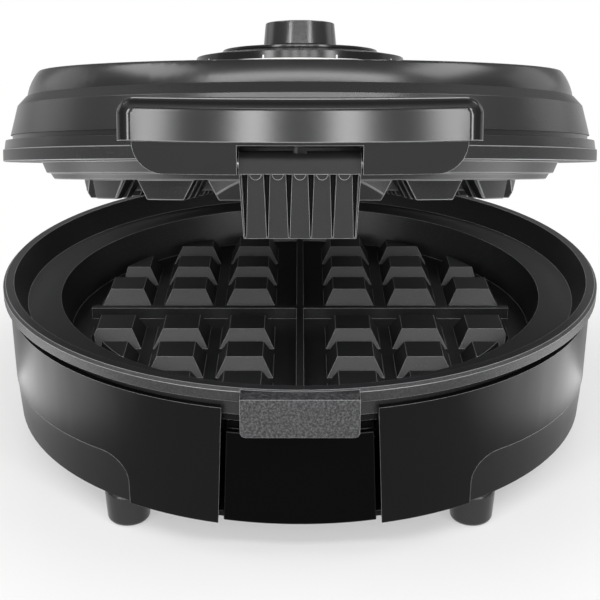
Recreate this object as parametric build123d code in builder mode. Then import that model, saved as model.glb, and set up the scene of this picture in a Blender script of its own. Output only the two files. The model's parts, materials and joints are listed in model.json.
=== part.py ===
from build123d import *

import os
from math import atan, cos, degrees, hypot, radians, sin, tan

# A round countertop waffle maker, millimetres, +Z up, standing on its four feet at z = 0.
# The front, with the handle and the latch, faces -Y. Every piece is drawn round the axis of
# the plates with the lid shut, and is then put in the pose of the whole: lid part open.

# Poses
LID_REST_ANGLE = 16.8  # how far the lid stands open in the stored pose, degrees

# Heights of the base
FOOT_HEIGHT = 14.0
BASE_HEIGHT = 56.0  # underside of the base to the top of the plate's rim

# Lower grid plate, cast aluminium
RIM_RADIUS = 125.0
RIM_BAND = 4.9  # height of the cast band round the rim
RIM_EDGE = 1.1  # bevel on the rim's outer edge
RIM_LAND = 4.5  # width of the rim's flat top
MOAT_WALL_RUN = 5.0  # how far the wall inside the rim leans in
MOAT_DEPTH = 9.5
MOAT_WIDTH = 13.7
BASIN_DRAFT = 3.2
WAFFLE_DEPTH = 20.6  # grid floor to grid floor with the lid shut
PLATE_WALL = 3.0

# Grid teeth, the same on both plates
TOOTH_BASE = 22.6
TOOTH_TIP = 14.5
TOOTH_HEIGHT = 7.5
FIRST_TOOTH = 22.0  # plate's axis to the first row of teeth
TOOTH_PITCH = 27.5
TOOTH_ROWS = 3  # rows each side of the middle
GRID_MARGIN = 8.0  # outermost teeth are cut off this far inside the grid's floor
DIVIDER_WIDTH = 3.0
DIVIDER_HEIGHT = 5.0

# Catch tab on the front of the lower plate
TAB_WIDTH = 41.0
TAB_REACH = 5.5  # tab's front face past the rim
TAB_DEPTH = 15.0  # rim's top to the tab's lower edge
TAB_THICKNESS = 5.0
TAB_DROP = 0.5  # tab's top below the rim's top
TAB_CORNER = 2.0

# Upper plate
CLOSED_GAP = 1.6  # between the two rims with the lid shut
LID_INSET = 2.2  # upper rim's radius inside the lower rim's
UPPER_RIM = 5.0  # height of the upper rim's band
PLUG_LAP = 5.6  # plug's radius past the lower plate's basin
PLUG_DRAFT = 1.9
PLUG_STEP = 1.5
PLUG_LIP = 2.4  # height of the stepped lip round the upper grid
OVERFLOW_GAP = 4.1  # upper grid's plane above the moat

# Base housing
SHELL_DROP = 9.1  # rim's top to the housing's top edge
SHELL_INSET = 2.3  # housing's top edge inside the rim's radius
SHELL_TUCK = 0.2  # how far its foot is drawn in again
SHELL_WALL = 2.2
NECK_SETBACK = 2.5
SHELF_DEPTH = 12.5  # rim's top to the shelf that the lower plate sits on
SHELF_THICKNESS = 2.5
SHELF_WIDTH = 11.0
SHELF_SLOPE = 8.0  # drop of the gusset under the shelf

# Line where the housing ends and the bottom cover shows
SIDE_LINE_HEIGHT = 19.4  # above the base's underside, at its front bend
SIDE_LINE_X = 63.0
SIDE_LINE_BEND = 10.0
REAR_LINE_HEIGHT = 15.7
LINE_GAP = 0.3

# Front panel in its window in the housing
WINDOW_TOP_HALF = 27.4
WINDOW_FOOT_HALF = 29.6
WINDOW_GAP = 1.8  # black groove each side of the panel
PANEL_SETBACK = 2.5  # panel's face inside the housing's foot
PANEL_WALL = 2.2
PANEL_DROP = 19.6  # rim's top to the panel's top edge
PANEL_LEDGE = 2.5

# Bottom cover
COVER_WALL = 2.3
COVER_GAP = 0.5  # between the cover's wall and the housing's inner wall
COVER_REVEAL = 1.1  # cover's visible skin inside the housing's foot
VENT_WIDTH = 3.0
VENT_LENGTH = 34.0
VENT_PITCH = 8.0
VENT_COUNT = 4
VENT_OFFSET = 48.0

# Feet
FOOT_TOP_RADIUS = 8.8
FOOT_RADIUS = 8.0
FOOT_EDGE = 0.7  # feet's outer edge inside the housing's foot
FOOT_ANGLE = 35.5  # from the front or the back, degrees

# Hinge
HINGE_BACK = 15.0  # hinge axis behind the lower rim
HINGE_DROP = 10.0  # hinge axis below the rim's top
PIN_RADIUS = 3.0
PIN_FIT = 0.02
PIN_RUN = 0.05  # running clearance in the lid's knuckle
KNUCKLE_RADIUS = 8.0
KNUCKLE_WIDTH = 44.0
EAR_WIDTH = 17.6
SIDE_GAP = 0.4
TOWER_CLEARANCE = 2.4  # knuckle to the top of the hinge tower
TOWER_MARGIN = 5.0
TOWER_LIP = 3.0  # tower's back wall behind the knuckle
TOWER_CORNER = 7.0
ARM_CLEARANCE = 2.0  # lid's arm to the plates' rims

# Cord entry
GLAND_RADIUS = 6.0
GLAND_LENGTH = 9.0
GLAND_BORE = 3.4
GLAND_HEIGHT = 8.5  # above the base's underside
GLAND_FLANGE = 2.0

# Heaters, reflectors and their fixings
HEATER_RADIUS = 68.0
HEATER_WIDTH = 7.0
HEATER_TOP_WIDTH = 4.5
HEATER_HEIGHT = 6.0
HEATER_SWEEP = 330.0
BLADE_METAL = 1.0
BLADE_LENGTH = 4.0  # flat terminal blades past the heater's back
CLAMP_COUNT = 3
CLAMP_METAL = 1.0
CLAMP_LENGTH = 10.0
CLAMP_FOOT = 5.0
SHEET_METAL = 0.8
REFLECTOR_GAP = 4.5
PIECE_GAP = 0.3  # between fixed pieces that don't carry each other
POST_RADIUS = 6.0
BLOCK_LENGTH = 34.0
BLOCK_WIDTH = 16.0
BLOCK_HEIGHT = 9.0
BLOCK_MARGIN = 9.2  # room for the leads between the block and the cover's wall
FUSE_RADIUS = 3.2
FUSE_LENGTH = 24.0

# Lid housing
SKIRT_INSET = 0.6  # skirt's radius inside the upper rim's
SKIRT_HEIGHT = 3.5
SKIRT_DRAFT = 0.5
GROOVE_HEIGHT = 2.0
GROOVE_SHADOW = 0.8  # groove's floor inside the tier's foot
TIER_INSET = 2.0  # tier's foot inside the skirt's top
TIER_HEIGHT = 11.8
TIER_DRAFT = 3.0
SHOULDER_RUN = 3.4
SHOULDER_RISE = 3.7
LID_WALL = 2.5
ARM_ROUND = 9.0

# Top cover
COVER_SEAT = 3.0  # width of the ledge that the top cover sits on
DOME_REVEAL = 0.5
DOME_SIDE_RUN = 12.6
DOME_SIDE_RISE = 16.0
DOME_SIDE_BULGE = 1.9
DECK_RISE = 11.2  # housing's seat to the deck, at the knob's axis
DECK_RAKE = 1.8  # how far the deck slopes down to the front, degrees
DECK_ROUND = 1.6
DOME_WALL = 2.4

# Dial, knob and thermostat
DIAL_RADIUS = 43.4
DIAL_EDGE = 0.9
DIAL_RISE = 2.9
DIAL_HEIGHT = 5.1  # deck to the dial's outer edge, at the knob's axis
BEZEL_RADIUS = 32.4
BEZEL_EDGE = 1.2
BEZEL_RISE = 2.6
BEZEL_INNER_RADIUS = 16.6
KNOB_RADIUS = 15.3
KNOB_TOP_RADIUS = 14.4
KNOB_HEIGHT = 9.6
KNOB_GAP = 0.4
POINTER_WIDTH = 1.6
SHAFT_RADIUS = 3.0
SHAFT_RUN = 0.05
SHAFT_ENGAGEMENT = 7.0
THERMOSTAT_WIDTH = 22.0
THERMOSTAT_HEIGHT = 13.0
BUSH_RADIUS = 5.0
BUSH_HEIGHT = 5.0
STRAP_HALF = 21.0
STRAP_WIDTH = 12.0
STRAP_METAL = 1.2

# Handle
HANDLE_HALF = 58.0
HANDLE_REACH = 24.2  # front of the handle past the upper rim
HANDLE_TOP = 20.6  # above the closed lower rim
HANDLE_PARTING = 6.4
HANDLE_FOOT = 3.7  # lower edge below the closed lower rim
HANDLE_CORNER = 6.0  # upper corners, seen from the front
HANDLE_ROUND = 5.0  # round the front face
HANDLE_WALL = 2.6
HANDLE_FIT = 0.3
HULL_HALF = 53.0
HULL_CORNER = 9.6
HULL_SETBACK = 1.5
HULL_LEAN = 3.0
RIM_CLEARANCE = 1.5
NOTCH_HALF = 19.9
DECK = 1.0  # web over the latch's notch
PIN_GRIP = 2.2

# Latch
LATCH_PIVOT_OUT = 6.0  # pivot in front of the tab's face
BARREL_RADIUS = 4.0
LATCH_HALF = 19.5
LATCH_FOOT_HALF = 18.1
LATCH_DROP = 24.0  # pivot to the latch's lower edge
LATCH_THICKNESS = 6.4
LATCH_GAP = 0.7  # latch's back to the tab's face
LIP_DROP = 3.4
HOOK_REACH = 4.2
HOOK_GAP = 0.5
LATCH_PIN_RADIUS = 1.6
RIB_COUNT = 5
RIB_GROOVE_TOP = 2.0
RIB_GROOVE_FOOT = 0.5
RIB_DEPTH = 4.0
RIB_EDGE = 0.8
RIB_SILL = 0.5
LATCH_LEAN = 1.2
SCALLOP_RADIUS = 1.8
SCALLOP_RISE = 1.4
SPRING_TURNS = 2
SPRING_WIRE = 0.9
SPRING_PITCH = 1.3
COIL_RADIUS = 2.3
SPRING_ROOM = 3.2
SPRING_HALF = 2.1
SLOT_REACH = 2.4  # how far the leg's slot opens in front of the pivot

# Places that follow from the sizes above
BOTTOM = FOOT_HEIGHT
RIM_TOP = FOOT_HEIGHT + BASE_HEIGHT
TAB_FRONT = RIM_RADIUS + TAB_REACH
RIM_INNER = RIM_RADIUS - RIM_LAND
MOAT_OUTER = RIM_INNER - MOAT_WALL_RUN
BASIN_RADIUS = MOAT_OUTER - MOAT_WIDTH
GRID_RADIUS = BASIN_RADIUS - BASIN_DRAFT
MOAT_Z = RIM_TOP - MOAT_DEPTH
UPPER_GRID_Z = MOAT_Z + OVERFLOW_GAP
LOWER_GRID_Z = UPPER_GRID_Z - WAFFLE_DEPTH
UNDER_PLATE_Z = LOWER_GRID_Z - PLATE_WALL
REFLECTOR_Z = UNDER_PLATE_Z - HEATER_HEIGHT - REFLECTOR_GAP
SHELF_Z = RIM_TOP - SHELF_DEPTH
UNDER_SHELF_Z = SHELF_Z - SHELF_THICKNESS

SHELL_TOP_RADIUS = RIM_RADIUS - SHELL_INSET
SHELL_FOOT_RADIUS = SHELL_TOP_RADIUS - SHELL_TUCK
SHELL_TOP_Z = RIM_TOP - SHELL_DROP
SHELL_INNER = SHELL_FOOT_RADIUS - SHELL_WALL
FOOT_CIRCLE = SHELL_FOOT_RADIUS - FOOT_EDGE - FOOT_TOP_RADIUS
NECK_RADIUS = SHELL_TOP_RADIUS - NECK_SETBACK
SHELF_INNER = NECK_RADIUS - SHELF_WIDTH
PANEL_RADIUS = SHELL_FOOT_RADIUS - PANEL_SETBACK
PANEL_TOP_Z = RIM_TOP - PANEL_DROP
COVER_OUTER = SHELL_INNER - COVER_GAP
COVER_INNER = COVER_OUTER - COVER_WALL
COVER_SKIN = SHELL_FOOT_RADIUS - COVER_REVEAL
SIDE_LINE_Z = BOTTOM + SIDE_LINE_HEIGHT
REAR_LINE_Z = BOTTOM + REAR_LINE_HEIGHT
FLOOR_Z = BOTTOM + COVER_WALL
BLOCK_Y = COVER_INNER - BLOCK_MARGIN - BLOCK_WIDTH / 2
REFLECTOR_RADIUS = BLOCK_Y - BLOCK_WIDTH / 2 - PIECE_GAP

HINGE_Y = RIM_RADIUS + HINGE_BACK
HINGE_Z = RIM_TOP - HINGE_DROP
HINGE_AXIS = Axis((0, HINGE_Y, HINGE_Z), (1, 0, 0))
EAR_INNER = KNUCKLE_WIDTH / 2 + SIDE_GAP
EAR_OUTER = EAR_INNER + EAR_WIDTH
TOWER_HALF = EAR_OUTER + TOWER_MARGIN
TOWER_BACK = HINGE_Y + KNUCKLE_RADIUS + TOWER_LIP
TOWER_TOP_Z = HINGE_Z - KNUCKLE_RADIUS - TOWER_CLEARANCE

UPPER_RIM_RADIUS = RIM_RADIUS - LID_INSET
UPPER_RIM_Z = RIM_TOP + CLOSED_GAP
UPPER_RIM_TOP = UPPER_RIM_Z + UPPER_RIM
PLUG_RADIUS = BASIN_RADIUS + PLUG_LAP
PLUG_FOOT_RADIUS = PLUG_RADIUS - PLUG_DRAFT
LIP_RADIUS = PLUG_FOOT_RADIUS - PLUG_STEP
SKIRT_Z = UPPER_RIM_TOP
SKIRT_RADIUS = UPPER_RIM_RADIUS - SKIRT_INSET
SKIRT_TOP_Z = SKIRT_Z + SKIRT_HEIGHT
ARM_BEND_Z = (SKIRT_Z + RIM_TOP) / 2
TIER_Z = SKIRT_TOP_Z + GROOVE_HEIGHT
TIER_RADIUS = SKIRT_RADIUS - SKIRT_DRAFT - TIER_INSET
TIER_TOP_Z = TIER_Z + TIER_HEIGHT
TIER_TOP_RADIUS = TIER_RADIUS - TIER_DRAFT
SEAT_Z = TIER_TOP_Z + SHOULDER_RISE
SEAT_RADIUS = TIER_TOP_RADIUS - SHOULDER_RUN
LID_INNER = SEAT_RADIUS - COVER_SEAT
LID_CAVITY = TIER_RADIUS - LID_WALL - GROOVE_SHADOW
DOME_RADIUS = SEAT_RADIUS - DOME_REVEAL
DECK_Z = SEAT_Z + DECK_RISE
DIAL_Z = DECK_Z + DIAL_HEIGHT
BEZEL_Z = DIAL_Z + DIAL_RISE
KNOB_Z = BEZEL_Z + BEZEL_RISE + KNOB_GAP
KNOB_TOP_Z = KNOB_Z + KNOB_HEIGHT
BACK_OF_GRID_Z = UPPER_GRID_Z + PLATE_WALL
THERMOSTAT_TOP_Z = BACK_OF_GRID_Z + THERMOSTAT_HEIGHT

HANDLE_FRONT = UPPER_RIM_RADIUS + HANDLE_REACH
HANDLE_TOP_Z = RIM_TOP + HANDLE_TOP
PARTING_Z = RIM_TOP + HANDLE_PARTING
HANDLE_FOOT_Z = RIM_TOP - HANDLE_FOOT
PIVOT_Y = -(TAB_FRONT + LATCH_PIVOT_OUT)
PIVOT_Z = RIM_TOP
LATCH_BACK = TAB_FRONT + LATCH_GAP
LATCH_FRONT = LATCH_BACK + LATCH_THICKNESS
LATCH_FOOT_Z = PIVOT_Z - LATCH_DROP
LIP_Z = PIVOT_Z - LIP_DROP

# The stored frame's origin is under the middle of the whole, so the plates' axis stands forward
PLATES_FORWARD = (TOWER_BACK + GLAND_FLANGE - TAB_FRONT) / 2
FAR = 2 * RIM_RADIUS  # longer than any cut needs to be

SIDES = (-1, 1)


# Shapes that several pieces share

def outline(*points):
    """A closed face from its corners, added to the sketch that is open."""
    Polygon(*points, align=None)


def window_outline(gap=0.0):
    """The window in the housing's front, seen from the front, drawn in by a gap each side."""
    with BuildSketch(Plane.XZ) as window:
        outline(
            (-WINDOW_FOOT_HALF + gap, BOTTOM - 1),
            (WINDOW_FOOT_HALF - gap, BOTTOM - 1),
            (WINDOW_TOP_HALF - gap, SHELL_TOP_Z + 1),
            (-WINDOW_TOP_HALF + gap, SHELL_TOP_Z + 1),
        )
    return window.sketch


def side_line_outline(gap=0.0):
    """The two regions below the side line, seen from the front, drawn in by a gap."""
    rear_z = REAR_LINE_Z - gap
    with BuildSketch(Plane.XZ) as region:
        for side in SIDES:
            front_x = side * (SIDE_LINE_X + gap)
            with BuildLine():
                line = FilletPolyline(
                    (front_x, BOTTOM - 1),
                    (front_x, SIDE_LINE_Z - gap),
                    (side * RIM_RADIUS, rear_z),
                    radius=SIDE_LINE_BEND,
                )
                Polyline(
                    line @ 1,
                    (side * FAR, rear_z),
                    (side * FAR, BOTTOM - 1),
                    line @ 0,
                )
            make_face()
    return region.sketch


def tooth_centres():
    """Centres of the grid's teeth that lie inside its round edge."""
    rows = [FIRST_TOOTH + row * TOOTH_PITCH for row in range(TOOTH_ROWS)]
    rows = [side * row for side in SIDES for row in rows]
    return [(x, y) for x in rows for y in rows if hypot(x, y) < GRID_RADIUS]


def grid(z, direction):
    """Tapered teeth and the divider cross, clipped by the grid's round edge."""
    taper = degrees(atan((TOOTH_BASE - TOOTH_TIP) / 2 / TOOTH_HEIGHT))
    with BuildPart() as teeth:
        with BuildSketch(Plane.XY.offset(z)):
            with Locations(*tooth_centres()):
                Rectangle(TOOTH_BASE, TOOTH_BASE)
        extrude(amount=direction * TOOTH_HEIGHT, taper=taper)
        with BuildSketch(Plane.XY.offset(z)):
            Rectangle(2 * GRID_RADIUS, DIVIDER_WIDTH)
            Rectangle(DIVIDER_WIDTH, 2 * GRID_RADIUS)
        extrude(amount=direction * DIVIDER_HEIGHT)
        with BuildSketch(Plane.XY.offset(z)):
            Circle(GRID_RADIUS - GRID_MARGIN)
        extrude(amount=direction * TOOTH_HEIGHT, mode=Mode.INTERSECT)
    return teeth.part


def circle_points(radius, angles):
    """Points on a circle, by their angles from the front in degrees."""
    return [(radius * sin(radians(a)), -radius * cos(radians(a))) for a in angles]


def heater(z, direction):
    """A tubular heater, rolled flat where it lies on its plate, with a blade at each end."""
    half_gap = radians((360 - HEATER_SWEEP) / 2)
    start = Plane.XZ.rotated((0, 0, 90 + degrees(half_gap)))
    with BuildPart() as ring:
        with BuildSketch(start):
            outline(
                (HEATER_RADIUS - HEATER_WIDTH / 2, z),
                (HEATER_RADIUS + HEATER_WIDTH / 2, z),
                (HEATER_RADIUS + HEATER_TOP_WIDTH / 2, z + direction * HEATER_HEIGHT),
                (HEATER_RADIUS - HEATER_TOP_WIDTH / 2, z + direction * HEATER_HEIGHT),
            )
        revolve(axis=Axis.Z, revolution_arc=HEATER_SWEEP)
        ends = [
            (side * HEATER_RADIUS * sin(half_gap), HEATER_RADIUS * cos(half_gap))
            for side in SIDES
        ]
        with BuildSketch(Plane.XY.offset(z)):
            with Locations(*ends):
                Rectangle(HEATER_TOP_WIDTH, BLADE_METAL)
        extrude(amount=direction * (HEATER_HEIGHT + BLADE_LENGTH))
    return ring.part


def heater_clamps(z, direction):
    """Sheet-metal straps that hold a heater to its plate."""
    inner = HEATER_WIDTH / 2 + PIECE_GAP
    outer = inner + CLAMP_METAL
    crown = z + direction * (HEATER_HEIGHT + PIECE_GAP)
    top = crown + direction * CLAMP_METAL
    foot = z + direction * CLAMP_METAL
    with BuildPart() as clamps:
        for turn in range(CLAMP_COUNT):
            angle = 360 / CLAMP_COUNT * (turn + 0.5)
            side_on = Plane.XZ.rotated((0, 0, angle))
            with BuildSketch(side_on):
                outline(
                    (HEATER_RADIUS - outer - CLAMP_FOOT, z),
                    (HEATER_RADIUS - inner, z),
                    (HEATER_RADIUS - inner, crown),
                    (HEATER_RADIUS + inner, crown),
                    (HEATER_RADIUS + inner, z),
                    (HEATER_RADIUS + outer + CLAMP_FOOT, z),
                    (HEATER_RADIUS + outer + CLAMP_FOOT, foot),
                    (HEATER_RADIUS + outer, foot),
                    (HEATER_RADIUS + outer, top),
                    (HEATER_RADIUS - outer, top),
                    (HEATER_RADIUS - outer, foot),
                    (HEATER_RADIUS - outer - CLAMP_FOOT, foot),
                )
            extrude(amount=CLAMP_LENGTH / 2, both=True)
    return clamps.part


FOOT_POINTS = {
    "front_right": circle_points(FOOT_CIRCLE, [FOOT_ANGLE])[0],
    "front_left": circle_points(FOOT_CIRCLE, [-FOOT_ANGLE])[0],
    "rear_right": circle_points(FOOT_CIRCLE, [180 - FOOT_ANGLE])[0],
    "rear_left": circle_points(FOOT_CIRCLE, [180 + FOOT_ANGLE])[0],
}

# Lower grid plate: rim, moat, basin, teeth and catch tab in one casting, with a post below

lower_teeth = grid(LOWER_GRID_Z, 1)

with BuildPart() as lower_grid_plate:
    with BuildSketch(Plane.XZ):
        outline(
            (0, LOWER_GRID_Z),
            (GRID_RADIUS, LOWER_GRID_Z),
            (BASIN_RADIUS, MOAT_Z),
            (MOAT_OUTER, MOAT_Z),
            (RIM_INNER, RIM_TOP),
            (RIM_RADIUS - RIM_EDGE, RIM_TOP),
            (RIM_RADIUS, RIM_TOP - RIM_EDGE),
            (RIM_RADIUS, RIM_TOP - RIM_BAND),
            (NECK_RADIUS - PIECE_GAP, RIM_TOP - RIM_BAND),
            (NECK_RADIUS - PIECE_GAP, SHELF_Z),
            (BASIN_RADIUS + PLATE_WALL, SHELF_Z),
            (GRID_RADIUS + PLATE_WALL, UNDER_PLATE_Z),
            (0, UNDER_PLATE_Z),
        )
    revolve(axis=Axis.Z)
    with BuildSketch(Plane.XY.offset(UNDER_PLATE_Z)):
        Circle(POST_RADIUS)
    extrude(amount=REFLECTOR_Z - UNDER_PLATE_Z)
    tab_top = RIM_TOP - TAB_DROP
    with BuildSketch(Plane.XZ.offset(TAB_FRONT - TAB_THICKNESS)) as tab_face:
        outline(
            (-TAB_WIDTH / 2, RIM_TOP - TAB_DEPTH),
            (TAB_WIDTH / 2, RIM_TOP - TAB_DEPTH),
            (TAB_WIDTH / 2, tab_top),
            (-TAB_WIDTH / 2, tab_top),
        )
        fillet(tab_face.vertices().group_by(Axis.Y)[0], radius=TAB_CORNER)
    extrude(amount=TAB_THICKNESS)
    with BuildSketch(Plane.XZ.offset(RIM_INNER)):
        outline(
            (-TAB_WIDTH / 2, RIM_TOP - RIM_BAND),
            (TAB_WIDTH / 2, RIM_TOP - RIM_BAND),
            (TAB_WIDTH / 2, tab_top),
            (-TAB_WIDTH / 2, tab_top),
        )
    extrude(amount=TAB_FRONT - TAB_THICKNESS - RIM_INNER)
    add(lower_teeth)

# Upper shell of the base, with its shelf, its front window, its side line and the hinge ears

with BuildPart() as tower_skin:
    with BuildSketch(Plane.XY.offset(REAR_LINE_Z)) as tower_plan:
        with Locations((0, TOWER_BACK / 2)):
            Rectangle(2 * TOWER_HALF, TOWER_BACK)
        fillet(tower_plan.vertices().group_by(Axis.Y)[-1], radius=TOWER_CORNER)
    extrude(amount=TOWER_TOP_Z - REAR_LINE_Z)
    with BuildSketch(Plane.XY.offset(REAR_LINE_Z)) as tower_core:
        with Locations((0, (TOWER_BACK - SHELL_WALL) / 2)):
            Rectangle(2 * (TOWER_HALF - SHELL_WALL), TOWER_BACK - SHELL_WALL)
        fillet(tower_core.vertices().group_by(Axis.Y)[-1], radius=TOWER_CORNER - SHELL_WALL)
    extrude(amount=TOWER_TOP_Z - REAR_LINE_Z - SHELL_WALL, mode=Mode.SUBTRACT)
    for side in SIDES:
        with BuildSketch(Plane.YZ.offset(side * EAR_INNER)):
            with Locations((HINGE_Y, HINGE_Z)):
                Circle(KNUCKLE_RADIUS)
            outline(
                (HINGE_Y - KNUCKLE_RADIUS, TOWER_TOP_Z - SHELL_WALL),
                (HINGE_Y + KNUCKLE_RADIUS, TOWER_TOP_Z - SHELL_WALL),
                (HINGE_Y + KNUCKLE_RADIUS, HINGE_Z),
                (HINGE_Y - KNUCKLE_RADIUS, HINGE_Z),
            )
        extrude(amount=side * EAR_WIDTH)
    with BuildSketch(Plane.XY.offset(REAR_LINE_Z)):
        Circle(SHELL_INNER + SHELL_WALL / 2)
    extrude(amount=TOWER_TOP_Z - REAR_LINE_Z, mode=Mode.SUBTRACT)
    with BuildSketch(Plane.YZ):
        with Locations((HINGE_Y, HINGE_Z)):
            Circle(PIN_RADIUS + PIN_FIT)
    extrude(amount=EAR_OUTER, both=True, mode=Mode.SUBTRACT)

with BuildPart() as upper_shell:
    with BuildSketch(Plane.XZ):
        outline(
            (SHELL_TOP_RADIUS, SHELL_TOP_Z),
            (SHELL_FOOT_RADIUS, BOTTOM),
            (SHELL_INNER, BOTTOM),
            (SHELL_INNER, UNDER_SHELF_Z - SHELF_SLOPE),
            (SHELF_INNER, UNDER_SHELF_Z),
            (SHELF_INNER, SHELF_Z),
            (NECK_RADIUS, SHELF_Z),
            (NECK_RADIUS, SHELL_TOP_Z),
        )
    revolve(axis=Axis.Z)
    extrude(side_line_outline(), amount=FAR, mode=Mode.SUBTRACT)
    with BuildSketch(Plane.XZ):
        outline(
            (-FAR, BOTTOM - 1),
            (FAR, BOTTOM - 1),
            (FAR, REAR_LINE_Z),
            (-FAR, REAR_LINE_Z),
        )
    extrude(amount=-FAR, mode=Mode.SUBTRACT)
    add(tower_skin.part)
    extrude(window_outline(), amount=FAR, mode=Mode.SUBTRACT)
    with BuildSketch(Plane.XY.offset(UNDER_SHELF_Z)):
        Circle(PANEL_RADIUS - PIECE_GAP)
        Circle(SHELF_INNER, mode=Mode.SUBTRACT)
        with Locations((0, -PANEL_RADIUS + SHELF_WIDTH / 2)):
            Rectangle(4 * WINDOW_FOOT_HALF, SHELF_WIDTH * 2, mode=Mode.INTERSECT)
    extrude(amount=SHELF_THICKNESS)

# Front panel, set back in the window, with the ledge that the latch's hook passes over

with BuildPart() as front_panel:
    with BuildSketch(Plane.XZ):
        outline(
            (PANEL_RADIUS, BOTTOM),
            (PANEL_RADIUS, PANEL_TOP_Z),
            (PANEL_RADIUS - PANEL_LEDGE, PANEL_TOP_Z),
            (PANEL_RADIUS - PANEL_LEDGE, UNDER_SHELF_Z - PIECE_GAP),
            (PANEL_RADIUS - PANEL_LEDGE - PANEL_WALL, UNDER_SHELF_Z - PIECE_GAP),
            (PANEL_RADIUS - PANEL_LEDGE - PANEL_WALL, PANEL_TOP_Z - PANEL_WALL),
            (PANEL_RADIUS - PANEL_WALL, PANEL_TOP_Z - PANEL_WALL),
            (PANEL_RADIUS - PANEL_WALL, BOTTOM),
        )
    revolve(axis=Axis.Z)
    extrude(window_outline(WINDOW_GAP), amount=FAR, mode=Mode.INTERSECT)

# Bottom cover: a floor whose rim shows below the side line

with BuildPart() as cover_rim:
    with BuildSketch(Plane.XZ):
        outline(
            (COVER_INNER, BOTTOM),
            (COVER_SKIN, BOTTOM),
            (SHELL_FOOT_RADIUS, SIDE_LINE_Z),
            (COVER_INNER, SIDE_LINE_Z),
        )
    revolve(axis=Axis.Z)
    extrude(side_line_outline(LINE_GAP), amount=FAR, mode=Mode.INTERSECT)

with BuildPart() as rear_rim:
    with BuildSketch(Plane.XZ):
        outline(
            (COVER_INNER, BOTTOM),
            (COVER_SKIN, BOTTOM),
            (SHELL_FOOT_RADIUS, REAR_LINE_Z - LINE_GAP),
            (COVER_INNER, REAR_LINE_Z - LINE_GAP),
        )
    revolve(axis=Axis.Z)
    with BuildSketch(Plane.XY.offset(BOTTOM)):
        with Locations((0, FAR / 2)):
            Rectangle(2 * FAR, FAR)
    extrude(amount=FAR, mode=Mode.INTERSECT)

with BuildPart() as tower_pan:
    with BuildSketch(Plane.XY.offset(BOTTOM)) as pan_plan:
        with Locations((0, TOWER_BACK / 2)):
            Rectangle(2 * TOWER_HALF, TOWER_BACK)
        fillet(pan_plan.vertices().group_by(Axis.Y)[-1], radius=TOWER_CORNER)
    extrude(amount=REAR_LINE_Z - LINE_GAP - BOTTOM)
    with BuildSketch(Plane.XY.offset(FLOOR_Z)) as pan_core:
        with Locations((0, (TOWER_BACK - COVER_WALL) / 2)):
            Rectangle(2 * (TOWER_HALF - COVER_WALL), TOWER_BACK - COVER_WALL)
        fillet(pan_core.vertices().group_by(Axis.Y)[-1], radius=TOWER_CORNER - COVER_WALL)
    extrude(amount=BASE_HEIGHT, mode=Mode.SUBTRACT)
    with BuildSketch(Plane.XY.offset(BOTTOM)):
        Circle(COVER_INNER + COVER_WALL / 2)
    extrude(amount=BASE_HEIGHT, mode=Mode.SUBTRACT)
    with BuildSketch(Plane.XZ.offset(-TOWER_BACK)):
        with Locations((0, BOTTOM + GLAND_HEIGHT)):
            Circle(GLAND_RADIUS - GLAND_FLANGE + PIN_RUN)
    extrude(amount=COVER_WALL, mode=Mode.SUBTRACT)

with BuildPart() as bottom_cover:
    with BuildSketch(Plane.XY.offset(BOTTOM)):
        Circle(COVER_OUTER)
    extrude(amount=COVER_WALL)
    with BuildSketch(Plane.XY):
        with Locations((0, -RIM_RADIUS)):
            Rectangle(2 * WINDOW_FOOT_HALF, FAR / 4)
        Circle(PANEL_RADIUS - PANEL_WALL - PIECE_GAP, mode=Mode.SUBTRACT)
    extrude(amount=RIM_TOP, mode=Mode.SUBTRACT)
    add(cover_rim.part)
    add(rear_rim.part)
    add(tower_pan.part)
    with BuildSketch(Plane.XY.offset(BOTTOM)):
        for side in SIDES:
            with Locations((0, side * VENT_OFFSET)):
                with GridLocations(0, VENT_PITCH, 1, VENT_COUNT):
                    Rectangle(VENT_LENGTH, VENT_WIDTH)
    extrude(amount=COVER_WALL, mode=Mode.SUBTRACT)

# Feet, moulded plugs that stand under the bottom cover

feet = {}
for corner, point in FOOT_POINTS.items():
    with BuildPart() as foot:
        with BuildSketch(Plane(origin=(point[0], point[1], 0), x_dir=(1, 0, 0), z_dir=(0, -1, 0))):
            outline((0, 0), (FOOT_RADIUS, 0), (FOOT_TOP_RADIUS, FOOT_HEIGHT), (0, FOOT_HEIGHT))
        revolve(axis=Axis((point[0], point[1], 0), (0, 0, 1)))
    feet["foot_" + corner] = foot

# Hinge pin

with BuildPart() as hinge_pin:
    with BuildSketch(Plane.YZ):
        with Locations((HINGE_Y, HINGE_Z)):
            Circle(PIN_RADIUS)
    extrude(amount=EAR_OUTER - SIDE_GAP, both=True)

# Cord entry bush in the tower's back wall

with BuildPart() as cord_bush:
    with BuildSketch(Plane.XZ.offset(-TOWER_BACK)):
        with Locations((0, BOTTOM + GLAND_HEIGHT)):
            Circle(GLAND_RADIUS)
    extrude(amount=-GLAND_FLANGE)
    with BuildSketch(Plane.XZ.offset(-TOWER_BACK)):
        with Locations((0, BOTTOM + GLAND_HEIGHT)):
            Circle(GLAND_RADIUS - GLAND_FLANGE)
    extrude(amount=GLAND_LENGTH)
    with BuildSketch(Plane.XZ.offset(-TOWER_BACK - GLAND_FLANGE)):
        with Locations((0, BOTTOM + GLAND_HEIGHT)):
            Circle(GLAND_BORE)
    extrude(amount=GLAND_LENGTH + GLAND_FLANGE, mode=Mode.SUBTRACT)

# Lower heater, its straps, and the reflector on the post under the plate

lower_heater_part = heater(UNDER_PLATE_Z, -1)
lower_clamps_part = heater_clamps(UNDER_PLATE_Z, -1)

with BuildPart() as lower_reflector:
    with BuildSketch(Plane.XY.offset(REFLECTOR_Z)):
        Circle(REFLECTOR_RADIUS)
    extrude(amount=-SHEET_METAL)

# Terminal block and thermal fuse in the base

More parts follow.
